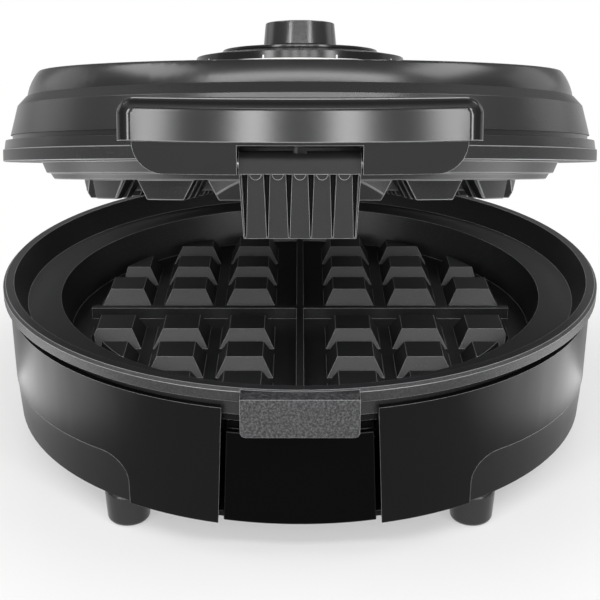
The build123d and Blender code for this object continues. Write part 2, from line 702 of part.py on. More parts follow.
with BuildPart() as terminal_block:
    with BuildSketch(Plane.XY.offset(FLOOR_Z)):
        with Locations((0, BLOCK_Y)):
            Rectangle(BLOCK_LENGTH, BLOCK_WIDTH)
    extrude(amount=BLOCK_HEIGHT)
    with BuildSketch(Plane.XY.offset(FLOOR_Z + BLOCK_HEIGHT)):
        with Locations((0, BLOCK_Y)):
            with GridLocations(BLOCK_LENGTH / 3, 0, 3, 1):
                Rectangle(BLOCK_LENGTH / 6, BLOCK_WIDTH)
    extrude(amount=-BLOCK_HEIGHT / 2, mode=Mode.SUBTRACT)

with BuildPart() as thermal_fuse:
    with BuildSketch(Plane.YZ):
        with Locations((-HEATER_RADIUS / 2, REFLECTOR_Z - SHEET_METAL - FUSE_RADIUS)):
            Circle(FUSE_RADIUS)
        with Locations((-HEATER_RADIUS / 2, REFLECTOR_Z - SHEET_METAL - FUSE_RADIUS / 2)):
            Rectangle(2 * FUSE_RADIUS, FUSE_RADIUS)
    extrude(amount=FUSE_LENGTH / 2, both=True)

# Upper grid plate: rim, stepped plug and teeth, hung under the lid

upper_teeth = grid(UPPER_GRID_Z, -1)

with BuildPart() as upper_grid_plate:
    with BuildSketch(Plane.XZ):
        outline(
            (0, UPPER_GRID_Z),
            (LIP_RADIUS - PLUG_STEP, UPPER_GRID_Z),
            (LIP_RADIUS, UPPER_GRID_Z + PLUG_LIP),
            (PLUG_FOOT_RADIUS, UPPER_GRID_Z + PLUG_LIP),
            (PLUG_RADIUS, UPPER_RIM_Z),
            (UPPER_RIM_RADIUS, UPPER_RIM_Z),
            (UPPER_RIM_RADIUS, UPPER_RIM_TOP),
            (PLUG_RADIUS - PLATE_WALL, UPPER_RIM_TOP),
            (LIP_RADIUS - PLUG_STEP - PLATE_WALL, BACK_OF_GRID_Z),
            (0, BACK_OF_GRID_Z),
        )
    revolve(axis=Axis.Z)
    add(upper_teeth)

# Lid housing: skirt, groove, tier and shoulder, with the shelf inside and the hinge arm behind

with BuildPart() as hinge_arm:
    with BuildSketch(Plane.YZ):
        arm_front = RIM_RADIUS + ARM_CLEARANCE
        with BuildLine():
            back = FilletPolyline(
                (HINGE_Y + KNUCKLE_RADIUS, HINGE_Z),
                (HINGE_Y + KNUCKLE_RADIUS, ARM_BEND_Z),
                (LID_INNER - LID_WALL, SEAT_Z),
                radius=ARM_ROUND,
            )
            Polyline(
                back @ 1,
                (LID_INNER - LID_WALL, SKIRT_Z),
                (arm_front, SKIRT_Z),
                (arm_front, RIM_TOP - RIM_BAND),
                (HINGE_Y - KNUCKLE_RADIUS, HINGE_Z),
                back @ 0,
            )
        make_face()
        with Locations((HINGE_Y, HINGE_Z)):
            Circle(KNUCKLE_RADIUS)
    extrude(amount=KNUCKLE_WIDTH / 2, both=True)
    with BuildSketch(Plane.YZ):
        with Locations((HINGE_Y, HINGE_Z)):
            Circle(PIN_RADIUS + PIN_RUN)
    extrude(amount=KNUCKLE_WIDTH / 2, both=True, mode=Mode.SUBTRACT)
    with BuildSketch(Plane.XZ):
        outline(
            (0, UPPER_RIM_TOP),
            (LID_CAVITY, UPPER_RIM_TOP),
            (LID_INNER, SEAT_Z),
            (0, SEAT_Z),
        )
    revolve(axis=Axis.Z, mode=Mode.SUBTRACT)

with BuildPart() as lid_housing:
    with BuildSketch(Plane.XZ):
        outline(
            (TIER_TOP_RADIUS, TIER_TOP_Z),
            (SEAT_RADIUS, SEAT_Z),
            (LID_INNER, SEAT_Z),
            (LID_CAVITY, UPPER_RIM_TOP),
            (SKIRT_RADIUS, UPPER_RIM_TOP),
            (SKIRT_RADIUS - SKIRT_DRAFT, SKIRT_TOP_Z),
            (TIER_RADIUS - GROOVE_SHADOW, SKIRT_TOP_Z),
            (TIER_RADIUS - GROOVE_SHADOW, TIER_Z),
            (TIER_RADIUS, TIER_Z),
        )
    revolve(axis=Axis.Z)
    add(hinge_arm.part)

# Top cover: a shallow dome on the housing's ledge, cut off by a deck that slopes to the front

deck_normal = (0, -sin(radians(DECK_RAKE)), cos(radians(DECK_RAKE)))
deck = Plane(origin=(0, 0, DECK_Z), x_dir=(1, 0, 0), z_dir=deck_normal)

with BuildPart() as dome_core:
    with BuildSketch(Plane.XZ):
        outline(
            (0, SEAT_Z),
            (DOME_RADIUS - DOME_WALL, SEAT_Z),
            (DOME_RADIUS - DOME_WALL - DOME_SIDE_RUN, SEAT_Z + DOME_SIDE_RISE),
            (0, SEAT_Z + DOME_SIDE_RISE),
        )
    revolve(axis=Axis.Z)
    split(bisect_by=deck.offset(-DOME_WALL), keep=Keep.BOTTOM)

with BuildPart() as top_cover:
    with BuildSketch(Plane.XZ):
        with BuildLine():
            dome_side = ThreePointArc(
                (DOME_RADIUS, SEAT_Z),
                (
                    DOME_RADIUS - DOME_SIDE_RUN / 2 + DOME_SIDE_BULGE,
                    SEAT_Z + DOME_SIDE_RISE / 2 + DOME_SIDE_BULGE,
                ),
                (DOME_RADIUS - DOME_SIDE_RUN, SEAT_Z + DOME_SIDE_RISE),
            )
            Polyline(
                dome_side @ 1,
                (0, SEAT_Z + DOME_SIDE_RISE),
                (0, SEAT_Z),
                dome_side @ 0,
            )
        make_face()
    revolve(axis=Axis.Z)
    split(bisect_by=deck, keep=Keep.BOTTOM)
    fillet(top_cover.faces().sort_by(Axis.Z)[-1].edges(), radius=DECK_ROUND)
    add(dome_core.part, mode=Mode.SUBTRACT)
    with BuildSketch(Plane.XY.offset(DIAL_Z)):
        Circle(BUSH_RADIUS)
    extrude(amount=SEAT_Z - DIAL_Z, mode=Mode.SUBTRACT)

# Dial: two stepped rings round the knob, the outer one standing level on the sloping deck

with BuildPart() as dial_ring:
    with BuildSketch(Plane.XZ):
        outline(
            (BUSH_RADIUS, SEAT_Z),
            (DIAL_RADIUS, SEAT_Z),
            (DIAL_RADIUS, DIAL_Z + DIAL_EDGE),
            (BEZEL_RADIUS, BEZEL_Z),
            (BUSH_RADIUS, BEZEL_Z),
        )
    revolve(axis=Axis.Z)
    split(bisect_by=deck, keep=Keep.TOP)

with BuildPart() as dial_bezel:
    with BuildSketch(Plane.XZ):
        outline(
            (BUSH_RADIUS, BEZEL_Z),
            (BEZEL_RADIUS, BEZEL_Z),
            (BEZEL_RADIUS, BEZEL_Z + BEZEL_EDGE),
            (BEZEL_INNER_RADIUS, BEZEL_Z + BEZEL_RISE),
            (BUSH_RADIUS, BEZEL_Z + BEZEL_RISE),
        )
    revolve(axis=Axis.Z)

# Control knob on the thermostat's shaft

with BuildPart() as control_knob:
    with BuildSketch(Plane.XZ):
        outline(
            (0, KNOB_Z),
            (KNOB_RADIUS, KNOB_Z),
            (KNOB_TOP_RADIUS, KNOB_TOP_Z),
            (0, KNOB_TOP_Z),
        )
    revolve(axis=Axis.Z)
    with BuildSketch(Plane.XY.offset(KNOB_Z)):
        Circle(SHAFT_RADIUS + PIN_FIT)
    extrude(amount=SHAFT_ENGAGEMENT, mode=Mode.SUBTRACT)
    with BuildSketch(Plane.XY.offset(KNOB_TOP_Z)):
        with Locations((0, -KNOB_TOP_RADIUS / 2)):
            Rectangle(POINTER_WIDTH, KNOB_TOP_RADIUS / 2)
    extrude(amount=-POINTER_WIDTH / 2, mode=Mode.SUBTRACT)

with BuildPart() as thermostat_shaft:
    with BuildSketch(Plane.XY.offset(THERMOSTAT_TOP_Z - SHAFT_ENGAGEMENT)):
        Circle(SHAFT_RADIUS)
    extrude(amount=KNOB_Z - THERMOSTAT_TOP_Z + 2 * SHAFT_ENGAGEMENT)

# Thermostat on the back of the upper plate, under a sheet-metal strap

with BuildPart() as thermostat:
    with BuildSketch(Plane.XY.offset(BACK_OF_GRID_Z)):
        Rectangle(THERMOSTAT_WIDTH, THERMOSTAT_WIDTH)
    extrude(amount=THERMOSTAT_HEIGHT)
    with BuildSketch(Plane.XY.offset(THERMOSTAT_TOP_Z)):
        Circle(BUSH_RADIUS)
    extrude(amount=BUSH_HEIGHT)
    with BuildSketch(Plane.XY.offset(THERMOSTAT_TOP_Z + BUSH_HEIGHT)):
        Circle(SHAFT_RADIUS + SHAFT_RUN)
    extrude(amount=-BUSH_HEIGHT - SHAFT_ENGAGEMENT - PIECE_GAP, mode=Mode.SUBTRACT)

with BuildPart() as thermostat_strap:
    with BuildSketch(Plane.XZ):
        outline(
            (-STRAP_HALF - CLAMP_FOOT, BACK_OF_GRID_Z),
            (-STRAP_HALF + STRAP_METAL, BACK_OF_GRID_Z),
            (-STRAP_HALF + STRAP_METAL, THERMOSTAT_TOP_Z),
            (STRAP_HALF - STRAP_METAL, THERMOSTAT_TOP_Z),
            (STRAP_HALF - STRAP_METAL, BACK_OF_GRID_Z),
            (STRAP_HALF + CLAMP_FOOT, BACK_OF_GRID_Z),
            (STRAP_HALF + CLAMP_FOOT, BACK_OF_GRID_Z + STRAP_METAL),
            (STRAP_HALF, BACK_OF_GRID_Z + STRAP_METAL),
            (STRAP_HALF, THERMOSTAT_TOP_Z + STRAP_METAL),
            (-STRAP_HALF, THERMOSTAT_TOP_Z + STRAP_METAL),
            (-STRAP_HALF, BACK_OF_GRID_Z + STRAP_METAL),
            (-STRAP_HALF - CLAMP_FOOT, BACK_OF_GRID_Z + STRAP_METAL),
        )
    extrude(amount=STRAP_WIDTH / 2, both=True)
    with BuildSketch(Plane.XY.offset(THERMOSTAT_TOP_Z)):
        Circle(BUSH_RADIUS + PIECE_GAP)
    extrude(amount=STRAP_METAL, mode=Mode.SUBTRACT)

# Upper heater and its straps

upper_heater_part = heater(BACK_OF_GRID_Z, 1)
upper_clamps_part = heater_clamps(BACK_OF_GRID_Z, 1)

# The lid's outer shape where the handle meets it, used to cut the handle's back

with BuildPart() as lid_outside:
    with BuildSketch(Plane.XZ):
        outline(
            (0, BOTTOM),
            (RIM_RADIUS + RIM_CLEARANCE, BOTTOM),
            (RIM_RADIUS + RIM_CLEARANCE, UPPER_RIM_Z),
            (UPPER_RIM_RADIUS + HANDLE_FIT, UPPER_RIM_Z),
            (UPPER_RIM_RADIUS + HANDLE_FIT, SKIRT_TOP_Z + PIN_RUN),
            (TIER_RADIUS + PIN_RUN, TIER_Z),
            (TIER_TOP_RADIUS + PIN_RUN, TIER_TOP_Z),
            (SEAT_RADIUS, SEAT_Z),
            (0, SEAT_Z),
        )
    revolve(axis=Axis.Z)

# Upper half of the handle, a hollow moulding with rounded front corners

with BuildPart() as handle_top:
    with BuildSketch(Plane.XZ) as handle_face:
        with Locations((0, (PARTING_Z + HANDLE_TOP_Z) / 2)):
            Rectangle(2 * HANDLE_HALF, HANDLE_TOP_Z - PARTING_Z)
        fillet(handle_face.vertices().group_by(Axis.Y)[-1], radius=HANDLE_CORNER)
    extrude(amount=HANDLE_FRONT)
    front_edges = handle_top.faces().sort_by(Axis.Y)[0].edges()
    fillet(front_edges.sort_by(Axis.Z)[1:], radius=HANDLE_ROUND)
    add(lid_outside.part, mode=Mode.SUBTRACT)
    hollow_back = UPPER_RIM_RADIUS + HANDLE_FIT + HANDLE_WALL
    hollow_front = HANDLE_FRONT - HANDLE_WALL
    with BuildSketch(Plane.XZ.offset(hollow_back)) as handle_hollow:
        with Locations((0, (PARTING_Z + HANDLE_TOP_Z - HANDLE_WALL) / 2)):
            Rectangle(2 * (HULL_HALF - HANDLE_WALL), HANDLE_TOP_Z - HANDLE_WALL - PARTING_Z)
        fillet(
            handle_hollow.vertices().group_by(Axis.Y)[-1], radius=HANDLE_CORNER - HANDLE_WALL
        )
    extrude(amount=hollow_front - hollow_back, mode=Mode.SUBTRACT)

# Lower half of the handle, a hull with the latch's notch

with BuildPart() as handle_bottom:
    hull_front = HANDLE_FRONT - HULL_SETBACK
    with BuildSketch(Plane.XZ) as hull_face:
        with Locations((0, (PARTING_Z + HANDLE_FOOT_Z) / 2)):
            Rectangle(2 * HULL_HALF, PARTING_Z - HANDLE_FOOT_Z)
        fillet(hull_face.vertices().group_by(Axis.Y)[0], radius=HULL_CORNER)
    extrude(amount=hull_front)
    with BuildSketch(Plane.YZ):
        outline(
            (0, PARTING_Z),
            (-hull_front, PARTING_Z),
            (-hull_front + HULL_LEAN, HANDLE_FOOT_Z),
            (0, HANDLE_FOOT_Z),
        )
    extrude(amount=HULL_HALF, both=True, mode=Mode.INTERSECT)
    add(lid_outside.part, mode=Mode.SUBTRACT)
    with BuildSketch(Plane.XZ):
        outline(
            (-NOTCH_HALF, BOTTOM),
            (NOTCH_HALF, BOTTOM),
            (NOTCH_HALF, PARTING_Z - DECK),
            (-NOTCH_HALF, PARTING_Z - DECK),
        )
    extrude(amount=FAR, mode=Mode.SUBTRACT)
    tab_room = TAB_WIDTH / 2 + LATCH_GAP
    with BuildSketch(Plane.XZ):
        outline(
            (-tab_room, BOTTOM),
            (tab_room, BOTTOM),
            (tab_room, UPPER_RIM_Z),
            (-tab_room, UPPER_RIM_Z),
        )
    extrude(amount=TAB_FRONT + LATCH_GAP, mode=Mode.SUBTRACT)
    hull_back = RIM_RADIUS + RIM_CLEARANCE + HANDLE_WALL
    hull_inner_front = hull_front - HULL_LEAN - HANDLE_WALL
    pin_block = NOTCH_HALF + PIN_GRIP + HANDLE_WALL
    for side in SIDES:
        with BuildSketch(Plane.XY.offset(HANDLE_FOOT_Z + HANDLE_WALL)):
            outline(
                (side * pin_block, -hull_back),
                (side * (HULL_HALF - HULL_CORNER), -hull_back),
                (side * (HULL_HALF - HULL_CORNER), -hull_inner_front),
                (side * pin_block, -hull_inner_front),
            )
        extrude(amount=PARTING_Z - HANDLE_FOOT_Z, mode=Mode.SUBTRACT)
    with BuildSketch(Plane.YZ):
        with Locations((PIVOT_Y, PIVOT_Z)):
            Circle(LATCH_PIN_RADIUS + PIN_FIT)
    extrude(amount=NOTCH_HALF + PIN_GRIP, both=True, mode=Mode.SUBTRACT)

# Latch: a barrel on its pin, a ribbed pull below it, and the hook that goes under the tab

with BuildPart() as latch:
    foot_lean = LATCH_FRONT - LATCH_LEAN
    with BuildSketch(Plane.YZ):
        with Locations((PIVOT_Y, PIVOT_Z)):
            Circle(BARREL_RADIUS)
        outline(
            (-LATCH_BACK, PIVOT_Z),
            (PIVOT_Y - BARREL_RADIUS, PIVOT_Z),
            (PIVOT_Y - BARREL_RADIUS, LIP_Z),
            (-LATCH_FRONT, LIP_Z),
            (-foot_lean, LATCH_FOOT_Z),
            (-LATCH_BACK + HOOK_REACH, LATCH_FOOT_Z),
            (-LATCH_BACK + HOOK_REACH, RIM_TOP - TAB_DEPTH - HOOK_GAP),
            (-LATCH_BACK, RIM_TOP - TAB_DEPTH - HOOK_GAP),
        )
    extrude(amount=LATCH_HALF, both=True)
    with BuildSketch(Plane.XZ) as latch_face:
        outline(
            (-LATCH_FOOT_HALF, LATCH_FOOT_Z),
            (LATCH_FOOT_HALF, LATCH_FOOT_Z),
            (LATCH_HALF, LIP_Z),
            (LATCH_HALF, PIVOT_Z + BARREL_RADIUS),
            (-LATCH_HALF, PIVOT_Z + BARREL_RADIUS),
            (-LATCH_HALF, LIP_Z),
        )
    extrude(amount=FAR, mode=Mode.INTERSECT)
    top_pitch = (2 * (LATCH_HALF - RIB_EDGE) - RIB_GROOVE_TOP) / RIB_COUNT
    foot_pitch = (2 * (LATCH_FOOT_HALF - RIB_EDGE / 2) - RIB_GROOVE_FOOT) / RIB_COUNT
    with BuildSketch(Plane.XZ.offset(foot_lean - RIB_DEPTH)):
        for groove in range(RIB_COUNT + 1):
            place = groove - RIB_COUNT / 2
            outline(
                (place * foot_pitch - RIB_GROOVE_FOOT / 2, LATCH_FOOT_Z + RIB_SILL),
                (place * foot_pitch + RIB_GROOVE_FOOT / 2, LATCH_FOOT_Z + RIB_SILL),
                (place * top_pitch + RIB_GROOVE_TOP / 2, LIP_Z),
                (place * top_pitch - RIB_GROOVE_TOP / 2, LIP_Z),
            )
    extrude(amount=FAR, mode=Mode.SUBTRACT)
    with BuildSketch(Plane.XZ.offset(LATCH_FRONT - RIB_DEPTH / 2)):
        for rib in range(RIB_COUNT):
            with Locations(((rib - (RIB_COUNT - 1) / 2) * top_pitch, LIP_Z)):
                Circle(SCALLOP_RADIUS)
    extrude(amount=RIB_DEPTH / 2 + SCALLOP_RISE)
    with BuildSketch(Plane.YZ):
        with Locations((PIVOT_Y, PIVOT_Z)):
            Circle(LATCH_PIN_RADIUS + PIN_RUN)
    extrude(amount=LATCH_HALF, both=True, mode=Mode.SUBTRACT)
    with BuildSketch(Plane.YZ):
        with Locations((PIVOT_Y, PIVOT_Z)):
            Circle(SPRING_ROOM)
        outline(
            (PIVOT_Y - SLOT_REACH, PIVOT_Z),
            (-TAB_FRONT, PIVOT_Z),
            (-TAB_FRONT, PARTING_Z),
            (PIVOT_Y - SLOT_REACH, PARTING_Z),
        )
        outline(
            (PIVOT_Y, LIP_Z),
            (-TAB_FRONT, LIP_Z),
            (-TAB_FRONT, PIVOT_Z),
            (PIVOT_Y, PIVOT_Z),
        )
    extrude(amount=SPRING_HALF, both=True, mode=Mode.SUBTRACT)

with BuildPart() as latch_pin:
    with BuildSketch(Plane.YZ):
        with Locations((PIVOT_Y, PIVOT_Z)):
            Circle(LATCH_PIN_RADIUS)
    extrude(amount=NOTCH_HALF + PIN_GRIP, both=True)

# Latch spring: a torsion coil round the pin, with a leg that bears on the handle's deck

with BuildPart() as latch_spring:
    coil_length = SPRING_TURNS * SPRING_PITCH
    with BuildLine() as coil:
        Helix(
            pitch=SPRING_PITCH,
            height=coil_length,
            radius=COIL_RADIUS,
            center=(-coil_length / 2, PIVOT_Y, PIVOT_Z),
            direction=(1, 0, 0),
        )
    with BuildSketch(Plane(origin=coil.line @ 0, z_dir=coil.line % 0)):
        Rectangle(SPRING_WIRE, SPRING_WIRE)
    sweep(is_frenet=True)
    leg_foot = coil.line @ 0
    with BuildSketch(Plane.XY.offset(leg_foot.Z)):
        with Locations((leg_foot.X, leg_foot.Y)):
            Rectangle(SPRING_WIRE, SPRING_WIRE)
    extrude(amount=PARTING_Z - DECK - PIN_RUN - leg_foot.Z)

# Stored pose: the lid turns about its hinge, and the whole stands so that the origin is under
# its middle

base_pieces = {
    "lower_grid_plate": lower_grid_plate.part,
    "upper_shell": upper_shell.part,
    "front_panel": front_panel.part,
    "bottom_cover": bottom_cover.part,
    "hinge_pin": hinge_pin.part,
    "cord_bush": cord_bush.part,
    "lower_heater": lower_heater_part,
    "lower_heater_clamps": lower_clamps_part,
    "lower_reflector": lower_reflector.part,
    "terminal_block": terminal_block.part,
    "thermal_fuse": thermal_fuse.part,
    **{name: foot.part for name, foot in feet.items()},
}
lid_pieces = {
    "upper_grid_plate": upper_grid_plate.part,
    "lid_housing": lid_housing.part,
    "top_cover": top_cover.part,
    "dial_ring": dial_ring.part,
    "dial_bezel": dial_bezel.part,
    "control_knob": control_knob.part,
    "thermostat_shaft": thermostat_shaft.part,
    "thermostat": thermostat.part,
    "thermostat_strap": thermostat_strap.part,
    "upper_heater": upper_heater_part,
    "upper_heater_clamps": upper_clamps_part,
    "handle_top": handle_top.part,
    "handle_bottom": handle_bottom.part,
    "latch": latch.part,
    "latch_pin": latch_pin.part,
    "latch_spring": latch_spring.part,
}
stand = Location((0, -PLATES_FORWARD, 0))
placed = {name: solid.moved(stand) for name, solid in base_pieces.items()}
for name, solid in lid_pieces.items():
    placed[name] = solid.rotate(HINGE_AXIS, -LID_REST_ANGLE).moved(stand)

os.makedirs("parts", exist_ok=True)
for name, solid in placed.items():
    solid.label = name
    export_step(solid, f"parts/{name}.step")
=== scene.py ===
# %% [markdown]
# # A round waffle maker
# The waffle maker stands on a pale studio floor with its lid a little open. The solids of
# the CAD model give every piece its place and its movement. Blender gives the pieces what
# a catalogue picture shows: rounded moulding edges, the finish of each material, the small
# printed and screwed parts, and the light. The first step reads the CAD frame and notes
# its box, so that the finished looks can be compared with it at the end.

# %% Load the frame
import json
from math import degrees, pi, radians

import bmesh
import bpy
from mathutils import Matrix, Vector


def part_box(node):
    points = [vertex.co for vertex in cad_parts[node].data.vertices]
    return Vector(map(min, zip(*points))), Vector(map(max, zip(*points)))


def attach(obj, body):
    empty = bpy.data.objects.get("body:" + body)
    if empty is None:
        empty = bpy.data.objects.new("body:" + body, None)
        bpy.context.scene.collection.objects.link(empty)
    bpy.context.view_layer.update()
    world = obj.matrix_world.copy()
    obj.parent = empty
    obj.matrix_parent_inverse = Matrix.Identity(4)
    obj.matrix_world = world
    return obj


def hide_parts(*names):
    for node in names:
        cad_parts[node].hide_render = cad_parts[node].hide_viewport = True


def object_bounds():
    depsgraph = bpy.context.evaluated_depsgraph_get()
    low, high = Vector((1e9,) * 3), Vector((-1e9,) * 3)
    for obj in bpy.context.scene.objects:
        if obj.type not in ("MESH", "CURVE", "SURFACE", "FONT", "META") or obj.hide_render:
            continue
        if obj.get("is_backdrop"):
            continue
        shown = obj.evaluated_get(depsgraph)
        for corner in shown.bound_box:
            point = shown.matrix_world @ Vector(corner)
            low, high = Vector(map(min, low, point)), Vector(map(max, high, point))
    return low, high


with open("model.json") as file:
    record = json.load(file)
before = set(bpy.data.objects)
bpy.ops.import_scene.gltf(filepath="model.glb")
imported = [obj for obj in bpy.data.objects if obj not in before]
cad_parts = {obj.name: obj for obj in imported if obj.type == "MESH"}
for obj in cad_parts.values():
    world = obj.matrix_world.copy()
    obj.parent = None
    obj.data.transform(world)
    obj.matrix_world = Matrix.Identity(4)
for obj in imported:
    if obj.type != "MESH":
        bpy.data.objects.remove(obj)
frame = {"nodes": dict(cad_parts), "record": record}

cad_box = [list(corner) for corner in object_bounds()]
print("CAD box in mm:", [[round(1000 * value, 1) for value in corner] for corner in cad_box])

# %% [markdown]
# ## The camera
# A catalogue photographer stands in front of the handle, a little above the rim, and looks
# down by about 22 degrees, so that both the grid and the front of the housing show. A long
# lens from half a metre keeps the circles of the rims from looking stretched. The same
# place could be found by eye in the viewport. It was worked out from the ellipses of the
# two rims instead, because an ellipse's height over its width is the sine of the angle at
# which the camera looks down on it.

# %% Camera
CAMERA_PLACE = Vector((0.0, -0.53125, 0.2664))
CAMERA_TILT = radians(67.612)
LENS_MM = 77.52
SENSOR_MM = 36.0

camera_lens = bpy.data.cameras.new("camera")
camera_lens.lens = LENS_MM
camera_lens.sensor_width = SENSOR_MM
camera = bpy.data.objects.new("camera", camera_lens)
camera.location = CAMERA_PLACE
camera.rotation_euler = (CAMERA_TILT, 0, 0)
bpy.context.scene.collection.objects.link(camera)
bpy.context.scene.camera = camera
print("camera looks down by", round(90 - degrees(CAMERA_TILT), 2), "degrees")

# %% [markdown]
# ## Writing a material as a sum
# A finish is a small calculation: a noise makes a grain, the grain changes the roughness a
# little, and a mask says where a coarser surface begins. In the shader editor that is a web
# of Math nodes. Here a small class wraps one output of a node, and Python's own signs add
# the Math nodes, so that a finish reads as a line of arithmetic. Any other node comes from
# one method, which takes the node's type, its settings and what goes into its sockets.

# %% A signal in a material
class Signal:
    """One output in a material's node tree. Arithmetic on it adds Math nodes."""

    def __init__(self, tree, socket):
        self.tree = tree
        self.socket = socket

    def feed(self, target, value):
        """Gives a socket a plain value or a link."""
        if isinstance(value, Signal):
            self.tree.links.new(value.socket, target)
        else:
            target.default_value = value

    def node(self, kind, settings, inputs, output=0):
        """Adds a node: its settings first, then what goes into its sockets."""
        made = self.tree.nodes.new(kind)
        for name, value in settings.items():
            setattr(made, name, value)
        for name, value in inputs.items():
            self.feed(made.inputs[name], value)
        return Signal(self.tree, made.outputs[output])

    def maths(self, operation, *values):
        """Adds a Math node that works on the given values."""
        return self.node("ShaderNodeMath", {"operation": operation}, dict(enumerate(values)))

    def __add__(self, other):
        return self.maths("ADD", self, other)

    def __radd__(self, other):
        return self.maths("ADD", other, self)

    def __sub__(self, other):
        return self.maths("SUBTRACT", self, other)

    def __rsub__(self, other):
        return self.maths("SUBTRACT", other, self)

    def __mul__(self, other):
        return self.maths("MULTIPLY", self, other)

    def __rmul__(self, other):
        return self.maths("MULTIPLY", other, self)

    def __gt__(self, other):
        return self.maths("GREATER_THAN", self, other)

    def __lt__(self, other):
        return self.maths("LESS_THAN", self, other)

    def between(self, low, high):
        """0 below low, 1 above high, and a soft step from one to the other."""
        ranged = {"Value": self, "From Min": low, "From Max": high}
        return self.node("ShaderNodeMapRange", {"interpolation_type": "SMOOTHSTEP"}, ranged)


# %% [markdown]
# ## Starting a finish
# Every finish starts from the same three things: a material, its Principled shader, and the
# place on the piece in metres. The place is Blender's Object coordinate. All the pieces
# have their objects at the origin, so one grain runs at one scale over all of them. A noise
# on that place gives the unevenness that every moulded or cast surface has.

# %% Shared parts of the finishes
finishes_made = []


def start_finish(name):
    """A new material, its shader node, and the place on the piece in metres."""
    finishes_made.append(name)
    material = bpy.data.materials.new(name)
    material.use_nodes = True
    tree = material.node_tree
    shader = tree.nodes["Principled BSDF"]
    place = Signal(tree, tree.nodes.new("ShaderNodeTexCoord").outputs["Object"])
    return material, shader, place


def noise(place, scale, detail=2.0, roughness=0.5):
    """Smooth random unevenness, with about one lump every 1/scale metres."""
    inputs = {"Vector": place, "Scale": scale, "Detail": detail, "Roughness": roughness}
    return place.node("ShaderNodeTexNoise", {}, inputs)


def blend_colours(mask, first, second):
    """The first colour where the mask is 0 and the second where it is 1."""
    made = mask.tree.nodes.new("ShaderNodeMix")
    made.data_type = "RGBA"
    mask.feed(made.inputs[0], mask)
    for socket, colour in ((made.inputs[6], first), (made.inputs[7], second)):
        mask.feed(socket, colour if isinstance(colour, Signal) else (*colour, 1))
    return Signal(mask.tree, made.outputs[2])


def shade(colour, factor):
    """A colour made darker or lighter by a factor."""
    return tuple(min(1, channel * factor) for channel in colour)


def bumped(place, height, distance, strength=1.0):
    """A normal that leans with a height of so many metres."""
    inputs = {"Height": height, "Distance": distance, "Strength": strength}
    return place.node("ShaderNodeBump", {}, inputs)


def set_shader(shader, place, varying, **plain):
    """Links what varies over the surface, and sets plain numbers on the shader itself."""
    for name, value in varying.items():
        place.feed(shader.inputs[name], value)
    for name, value in plain.items():
        shader.inputs[name.replace("_", " ")].default_value = value


# %% [markdown]
# ## Moulded plastics
# The housings are injection moulded in black heat-proof plastic. The mould is polished for
# the handle, the knob and the base's sides, and etched to a coarser grain for the lid, the
# covers and most of all the latch, which spreads their highlights. One function serves them
# all: the colour, the roughness, the grain's depth in metres and the gloss differ, and gloss
# is how strongly the surface mirrors the room. A noise with lumps of five or six centimetres
# mottles the colour and lets the roughness drift, as a moulding's shine does. The edges of
# the real pieces show as thin pale lines of light, so two paler finishes paint that
# highlight onto the rounded edges.

# %% Moulded finishes
CLOUD_SCALE = 18.0
SPECK_SCALE = 2600.0
SURFACE_IOR = 1.5
CLOUD_SHARE = 0.7


def moulded(name, colour, roughness, grain, drift=0.04, gloss=0.5, mottle=0.15):
    """A moulded plastic with a grain that is so many metres deep."""
    material, shader, place = start_finish(name)
    cloud = noise(place, CLOUD_SCALE, detail=3.0)
    speck = noise(place, SPECK_SCALE, detail=1.0)
    tint = cloud * CLOUD_SHARE + speck * (1.0 - CLOUD_SHARE)
    mottled = blend_colours(tint, shade(colour, 1 - mottle), shade(colour, 1 + mottle))
    uneven = roughness - drift / 2 + cloud * drift + (speck - 0.5) * (drift / 2)
    normal = bumped(place, speck, grain)
    varying = {"Base Color": mottled, "Roughness": uneven, "Normal": normal}
    set_shader(shader, place, varying, IOR=SURFACE_IOR, Specular_IOR_Level=gloss)
    return material


shell_black = moulded("shell_black", (0.0022, 0.0022, 0.0024), roughness=0.33, grain=1.5e-6, gloss=0.10)
panel_black = moulded("panel_black", (0.0010, 0.0010, 0.0011), roughness=0.28, grain=1.5e-6, gloss=0.03)
cover_black = moulded("cover_black", (0.0040, 0.0040, 0.0042), roughness=0.38, grain=6e-6, gloss=0.15)
lid_black = moulded("lid_black", (0.0105, 0.0105, 0.0109), roughness=0.28, grain=6e-6, gloss=0.5)
dome_black = moulded("dome_black", (0.0070, 0.0070, 0.0073), roughness=0.25, grain=4e-6, gloss=0.55)
knob_black = moulded("knob_black", (0.0060, 0.0060, 0.0063), roughness=0.22, grain=2e-6, gloss=0.9)
handle_black = moulded("handle_black", (0.0060, 0.0060, 0.0063), roughness=0.13, grain=2e-6, gloss=0.5)
hull_black = moulded("hull_black", (0.0060, 0.0060, 0.0063), roughness=0.26, grain=4e-6, gloss=0.28)
latch_charcoal = moulded(
    "latch_charcoal", (0.0105, 0.0106, 0.0109), roughness=0.42, grain=1.6e-5, gloss=0.14,
    mottle=0.8,
)
dial_black = moulded("dial_black", (0.0050, 0.0050, 0.0052), roughness=0.20, grain=2e-6)
# Pale colours that paint a highlight on rounded edges, where the real edges catch the light.
painted_edge_highlight = moulded("painted_edge_highlight", (0.15, 0.15, 0.153), roughness=0.30, grain=2e-6)
painted_bright_edge_highlight = moulded("painted_bright_edge_highlight", (0.30, 0.30, 0.305), roughness=0.30, grain=2e-6)
print("moulded finishes:", finishes_made)

# %% [markdown]
# ## The coated castings
# The two plates are die-cast aluminium with a baked non-stick coating. The coating is a
# dark grey with fine pale flecks, and its surface has a shallow orange-peel. The lower
# plate's outer band and its catch tab in front have a coarser, charcoal grain that sparkles
# a little, on the tab more than on the band. One function makes both coatings. Where the
# lower one turns coarse could be painted as a picture, but a mask from the place on the
# plate keeps its border sharp: the distance from the plate's axis gives the band, and what
# lies in front of the rim and below a height gives the tab.

